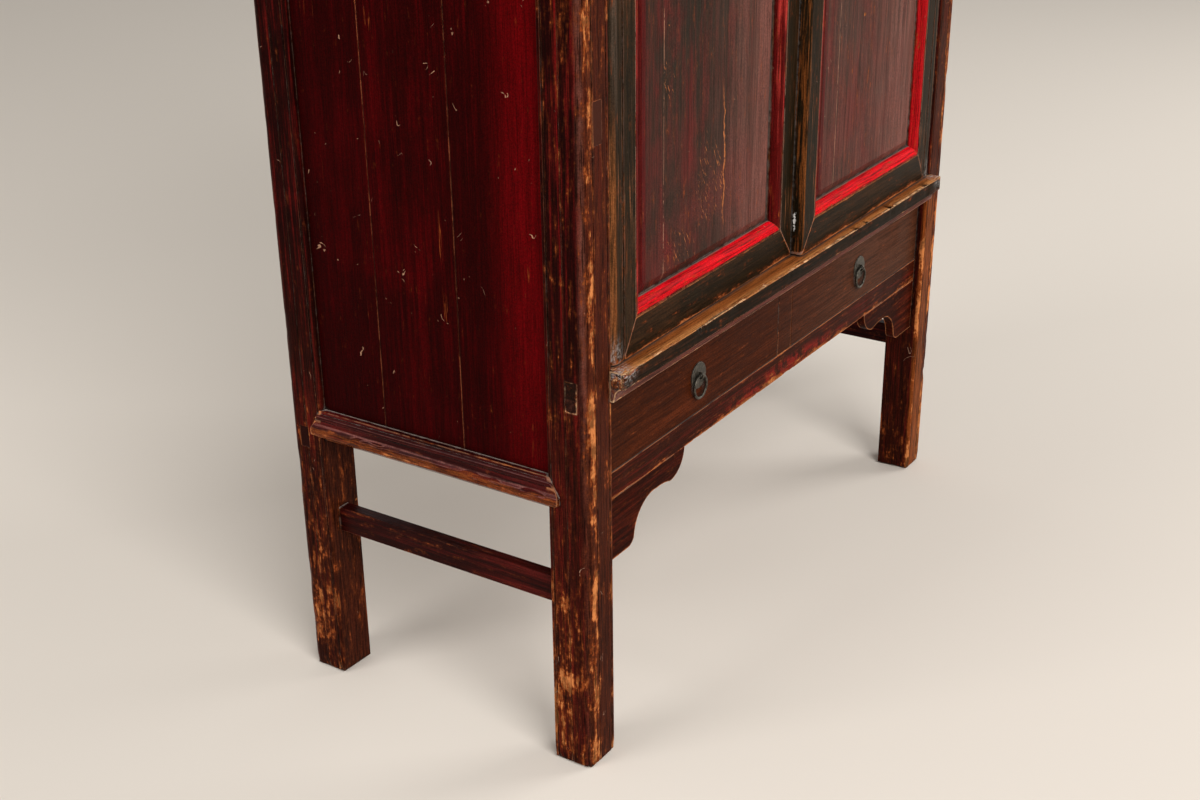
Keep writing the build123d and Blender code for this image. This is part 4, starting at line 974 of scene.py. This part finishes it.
raw_up = raw_timber("raw elm upright", (300.0, 300.0, 7.0), 11.0, back_board_tones)
raw_across = raw_timber("raw elm across", ACROSS, 12.0)
raw_inward = raw_timber("raw elm inward", INWARD, 13.0)

# %% [markdown]
# ## Old iron
# The pulls are forged, blackened and rubbed by fingers. Metal keeps a plain Metallic value, and
# only its colour and roughness vary. Occlusion inside the solid brightens the edges, as rubbed iron
# and as a painted highlight.

# %% Dark metal of the pulls
def dark_metal():
    """Blackened iron, brighter along its edges, partly rubbed and partly a painted highlight."""
    material, on = new_material("dark iron")
    mottle = clouds(on.point, 260.0, 6.0, 0.7)
    inside = made(on.tree, "ShaderNodeAmbientOcclusion", "AO", {"Distance": 0.0012}, samples=8,
                  inside=True, only_local=True)
    colour = blend(ramp(mottle, 0.4, 0.65), (0.026, 0.022, 0.016), (0.100, 0.086, 0.066))
    # the brighter edges are partly rubbed iron and partly a painted highlight
    colour = blend(ramp(inside, 0.85, 0.35) * 0.75, colour, (0.34, 0.31, 0.27))
    shade(on.tree, {"Base Color": colour, "Roughness": ramp(mottle, 0.3, 0.7, 0.30, 0.5),
                    "Metallic": 0.8}, mottle, 0.4, 0.0003)
    return material


iron = dark_metal()
print("materials:", len(bpy.data.materials))

# %% [markdown]
# ## Which piece wears which finish
# Each node of the frame is one piece of the cabinet. A short table by the start of the name is
# enough, since the pieces are named for what they are. The first row that fits counts, so
# back_boards stands above back_.

# %% Dress the pieces
FINISHES = [
    (post_finish, "post_"), (side_finish, "side_boards"), (stretcher_finish, "side_stretcher"),
    (side_rail_finish, "side_lower side_upper"), (plain_finish, "spandrel lintel top_"),
    (stile_finish, "door_hinge door_meeting"), (door_rail_finish, "door_bottom door_top"),
    (panel_finish, "door_panel"), (moulding_finish, "door_moulding"), (sill_finish, "door_sill"),
    (drawer_finish, "drawer_front drawer_muntin"), (drawer_rail_finish, "drawer_rail"),
    (iron, "door_pull drawer_pull"), (raw_up, "back_boards"),
    (raw_inward, "side_bearers drawer_box drawer_guides"),
    (raw_across, "back_ door_battens drawer_bottom drawer_floor cabinet_floor shelf")]
for name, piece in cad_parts.items():
    finish = next(finish for finish, starts in FINISHES if name.startswith(tuple(starts.split())))
    piece.data.materials.clear()
    piece.data.materials.append(finish)
print("dressed", len(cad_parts), "pieces")

# %% [markdown]
# ## Dents
# Paint alone doesn't make an edge look knocked. Sculpting dents by hand would give a shape that
# nobody can repeat, so a noise makes them: it is the same at each run, and its size along each
# axis makes the dents short or long. Where it stays low, there is no dent.

# %% How deep a dent is
def step_up(value, low, high):
    """0 below low, 1 above high, smooth between."""
    share = min(max((value - low) / (high - low), 0.0), 1.0)
    return share * share * (3.0 - 2.0 * share)


def dents(point, size, seed):
    """How deep a dent is here, from 0 to 1; size is the dents' length in each direction."""
    inside = Vector([point[i] / size[i] + seed for i in range(3)])
    return step_up(noise.noise(inside) + 0.35 * noise.noise(inside * 3.1), 0.05, 0.60)


print("a dent:", round(max(dents(Vector((0, 0, z / 100)), (0.02, 0.02, 0.05), 3.0)
                           for z in range(100)), 2))

# %% [markdown]
# ## Battered copies
# The posts, the sill and the rails are copied, cut into short lengths, and pushed in where the
# wear is. Subdividing the whole piece would do too, but it needs far more faces, since a post is
# long and its dents are short. The copy only ever moves inwards, so it keeps inside the solid.
# It replaces the piece in the picture and rides on the same body.

# %% Cut and push a copy
def slice_up(shape, faces, axis, cuts):
    """Cut the faces at each place in a sorted list, the middle one first."""
    if not cuts:
        return
    middle = len(cuts) // 2
    direction = Vector([float(i == axis) for i in range(3)])
    edges = {edge for face in faces for edge in face.edges}
    verts = {vert for face in faces for vert in face.verts}
    bmesh.ops.bisect_plane(shape, geom=list(verts) + list(edges) + faces,
                           plane_co=direction * cuts[middle], plane_no=direction)
    faces = {face for vert in verts if vert.is_valid for face in vert.link_faces}
    below = [face for face in faces if face.calc_center_median()[axis] < cuts[middle]]
    above = [face for face in faces if face.calc_center_median()[axis] > cuts[middle]]
    slice_up(shape, below, axis, cuts[:middle])
    slice_up(shape, above, axis, cuts[middle + 1:])


def battered_copy(name, axis, step, depth_at):
    """A copy of a piece, in short lengths along an axis, pushed in by depth_at(point)."""
    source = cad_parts[name]
    shape = bmesh.new()
    shape.from_mesh(source.data)
    bmesh.ops.remove_doubles(shape, verts=shape.verts[:], dist=1e-6)
    low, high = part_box(name)
    count = math.ceil((high[axis] - low[axis]) / step)
    cuts = [low[axis] + step * i for i in range(1, count)]
    slice_up(shape, shape.faces[:], axis, cuts)
    shape.normal_update()
    moves = [(vert, vert.normal * depth_at(vert.co)) for vert in shape.verts]
    for vert, move in moves:
        vert.co -= move
    mesh = bpy.data.meshes.new("battered_" + name)
    shape.to_mesh(mesh)
    shape.free()
    mesh.shade_smooth()
    mesh.set_sharp_from_angle(angle=math.radians(32.0))
    mesh.materials.append(source.data.materials[0])
    copy = bpy.data.objects.new("battered_" + name, mesh)
    bpy.context.collection.objects.link(copy)
    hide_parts(name)
    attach(copy, "carcass")
    print(name, "cut into", len(cuts) + 1, "lengths,", len(mesh.polygons), "faces")
    return copy


# %% [markdown]
# ## Where each piece is battered
# Each piece has a place that takes the knocks: a post its outer corner and foot, the sill its
# nosing and ends, a side rail its nose, the drawer rail its lower arris. One function for each
# says how far a point is pushed in. The depths are at most a few millimetres, as on old wood.

# %% Depths of the dents
CORNER_DENT, LOWER_DENT, FOOT_WEAR, FOOT_DENT = 0.0007, 0.0013, 0.0012, 0.0022
ARRIS_CHIP, END_CHIP, NOSE_CHIP, RAIL_CHIP = 0.0016, 0.0022, 0.0013, 0.0009
RAIL_END = 0.47


def post_depth(point):
    """Dents on the outer corner, deeper towards the foot, and a scuffed foot."""
    from_side = SIDE_FACE - abs(point.x)
    from_front = min(point.y - FRONT_FACE, BACK_FACE - point.y)
    corner = 1.0 - step_up(max(from_side, from_front), 0.010, 0.018)
    if corner <= 0.0 and point.z > 0.03:
        return 0.0
    lowness = 1.0 - step_up(point.z, 0.15, 0.95)
    knocks = 1.0 if point.y < 0.0 else 0.5
    deep = (corner * dents(point, (0.02, 0.02, 0.05), 3.0)
            * (CORNER_DENT + LOWER_DENT * lowness) * knocks)
    scuffed = (1.0 - step_up(point.z, 0.0, 0.022)) * (FOOT_WEAR + FOOT_DENT * dents(
        point, (0.018, 0.018, 0.02), 9.0))
    outer = min(from_side, from_front) < 0.004
    return deep + (scuffed if outer else 0.0)


def sill_depth(point):
    """Chips along the nosing's arrises, and battered ends."""
    if point.y > FRONT_FACE + 0.002:
        return 0.0
    arris = 1.0 - step_up(max(point.y - sill_low.y, sill_high.z - point.z), 0.002, 0.007)
    end = step_up(abs(point.x), 0.450, 0.468)
    return (arris * dents(point, (0.025, 0.02, 0.02), 5.0) * ARRIS_CHIP
            + end * dents(point, (0.014, 0.014, 0.012), 7.0) * END_CHIP)


def moulding_depth(point):
    """Chips along the side moulding's nose."""
    nose = step_up(abs(point.x), SIDE_FACE + 0.004, SIDE_FACE + 0.006)
    return nose * dents(point, (0.02, 0.03, 0.012), 11.0) * NOSE_CHIP


def rail_depth(point):
    """Chips along the drawer rail's lower front arris."""
    arris = 1.0 - step_up(max(point.y - rail_low.y, point.z - rail_low.z), 0.0015, 0.005)
    chips = arris * dents(point, (0.02, 0.02, 0.02), 13.0) * RAIL_CHIP
    return chips if abs(point.x) < RAIL_END else 0.0


print("a foot loses at most", round((FOOT_WEAR + FOOT_DENT) * 1000, 1), "mm in a scuff")

# %% [markdown]
# ## Batter the pieces
# A long piece is cut every few millimetres, so that each dent gets several cuts. Each row of the
# table also names a slot, the kind of surface the piece shows, which nothing here uses.

# %% Battered pieces
X, Y, Z = range(3)
BATTERED = [("door_sill", X, 0.004, sill_depth, "sill_lacquer"),
            ("drawer_rail", X, 0.005, rail_depth, "rail_lacquer")]
for side in ("left", "right"):
    BATTERED += [("post_front_" + side, Z, 0.006, post_depth, "post_lacquer"),
                 ("post_back_" + side, Z, 0.006, post_depth, "post_lacquer"),
                 ("side_lower_rail_" + side, Y, 0.004, moulding_depth, "rail_lacquer")]
for name, axis, step, depth_at, slot in BATTERED:
    battered_copy(name, axis, step, depth_at)
print("battered", len(BATTERED), "pieces")

# %% [markdown]
# ## The floor
# A cabinet needs something to stand on, or its feet seem to float. A modelled room would take
# the eye away from it. One large pale plane without an end in sight keeps only the shadow.

# %% Floor
FLOOR_WIDTH, FLOOR_COLOUR = 60.0, (0.76, 0.69, 0.61)


def pale_floor():
    """A wide, matt plane under the cabinet's feet."""
    bpy.ops.mesh.primitive_plane_add(size=FLOOR_WIDTH)
    floor = bpy.context.object
    floor.name = "floor"
    material = bpy.data.materials.new("pale floor")
    material.use_nodes = True
    shader = material.node_tree.nodes["Principled BSDF"]
    shader.inputs["Base Color"].default_value = (*FLOOR_COLOUR, 1.0)
    shader.inputs["Roughness"].default_value = 0.9
    floor.data.materials.append(material)
    return floor


print("floor:", pale_floor().dimensions.x, "m wide")

# %% [markdown]
# ## Lamps
# A dark, glossy surface shows what it mirrors. Small lamps would leave hard glints on every
# bead, so the lamps are large and soft: a key from the front left, a weaker one from the right
# and one from behind the left side. The world fills in, and it is paler where the camera or a
# mirroring surface looks at it than where it lights the wood.

# %% Light
LAMPS = [("key", (-3.0, -4.8, 4.6), (0.0, 0.0, 0.7), 3.4, 330.0),
         ("right", (4.4, -3.6, 3.0), (0.0, 0.0, 0.7), 2.6, 150.0),
         ("left", (-4.4, 1.8, 3.0), (0.0, 0.0, 0.6), 2.4, 90.0)]
WORLD_AS_LIGHT, WORLD_SEEN = 0.40, 0.85


def soft_lamp(name, stands_at, target, size, power):
    """A square lamp, size metres wide, that shines from stands_at to the target."""
    lamp = bpy.data.lights.new(name, "AREA")
    lamp.shape = "SQUARE"
    lamp.size = size
    lamp.energy = power
    stand = bpy.data.objects.new(name, lamp)
    stand.location = stands_at
    stand.rotation_euler = (Vector(target) - Vector(stands_at)).to_track_quat("-Z", "Y").to_euler()
    bpy.context.collection.objects.link(stand)


def studio_world(lighting, shown):
    """A plain world: lighting is its strength as a light, shown its strength when seen."""
    world = bpy.data.worlds.new("studio")
    world.use_nodes = True
    tree = world.node_tree
    rays = place(tree, "ShaderNodeLightPath").outputs
    camera, glossy, through = (
        Field(tree, rays[name]) for name in ("Is Camera Ray", "Is Glossy Ray",
                                             "Is Transmission Ray"))
    background = tree.nodes["Background"]
    background.inputs["Color"].default_value = (1.0, 0.985, 0.96, 1.0)
    seen = larger(camera, larger(glossy, through))
    feed(tree, background.inputs["Strength"], seen * (shown - lighting) + lighting)
    return world


for lamp_settings in LAMPS:
    soft_lamp(*lamp_settings)
bpy.context.scene.world = studio_world(WORLD_AS_LIGHT, WORLD_SEEN)
bpy.context.scene.view_settings.view_transform = "Standard"
print("lamps:", [lamp_settings[0] for lamp_settings in LAMPS])

# %% [markdown]
# ## Camera
# The camera stands to the left of the cabinet at the height of a chest, and looks down at its
# lower half. Aiming it at a point would be easy, but wouldn't keep the slight roll. So its
# matrix is built from where it stands and from three angles, in the order of a tripod's head.

# %% Camera
CAMERA_AT = (-1.8895, -1.1361, 1.2419)
YAW, PITCH, ROLL = math.radians(56.64), math.radians(23.95), math.radians(-0.72)
FOCAL_LENGTH, SENSOR_WIDTH = 47.45, 36.0


def standing_camera():
    """The camera on its tripod: turned to the side, tipped down, and a little rolled."""
    lens = bpy.data.cameras.new("camera")
    lens.sensor_width = SENSOR_WIDTH
    lens.lens = FOCAL_LENGTH
    camera = bpy.data.objects.new("camera", lens)
    camera.matrix_world = (Matrix.Translation(CAMERA_AT) @ Matrix.Rotation(-YAW, 4, "Z")
                           @ Matrix.Rotation(math.pi / 2 - PITCH, 4, "X")
                           @ Matrix.Rotation(ROLL, 4, "Z"))
    bpy.context.collection.objects.link(camera)
    bpy.context.scene.camera = camera
    return camera


print("camera at", [round(metres, 2) for metres in standing_camera().location])

# %% [markdown]
# ## Sizes
# The finished model must be as large as the solids it came from, since other parts will stand
# beside it.
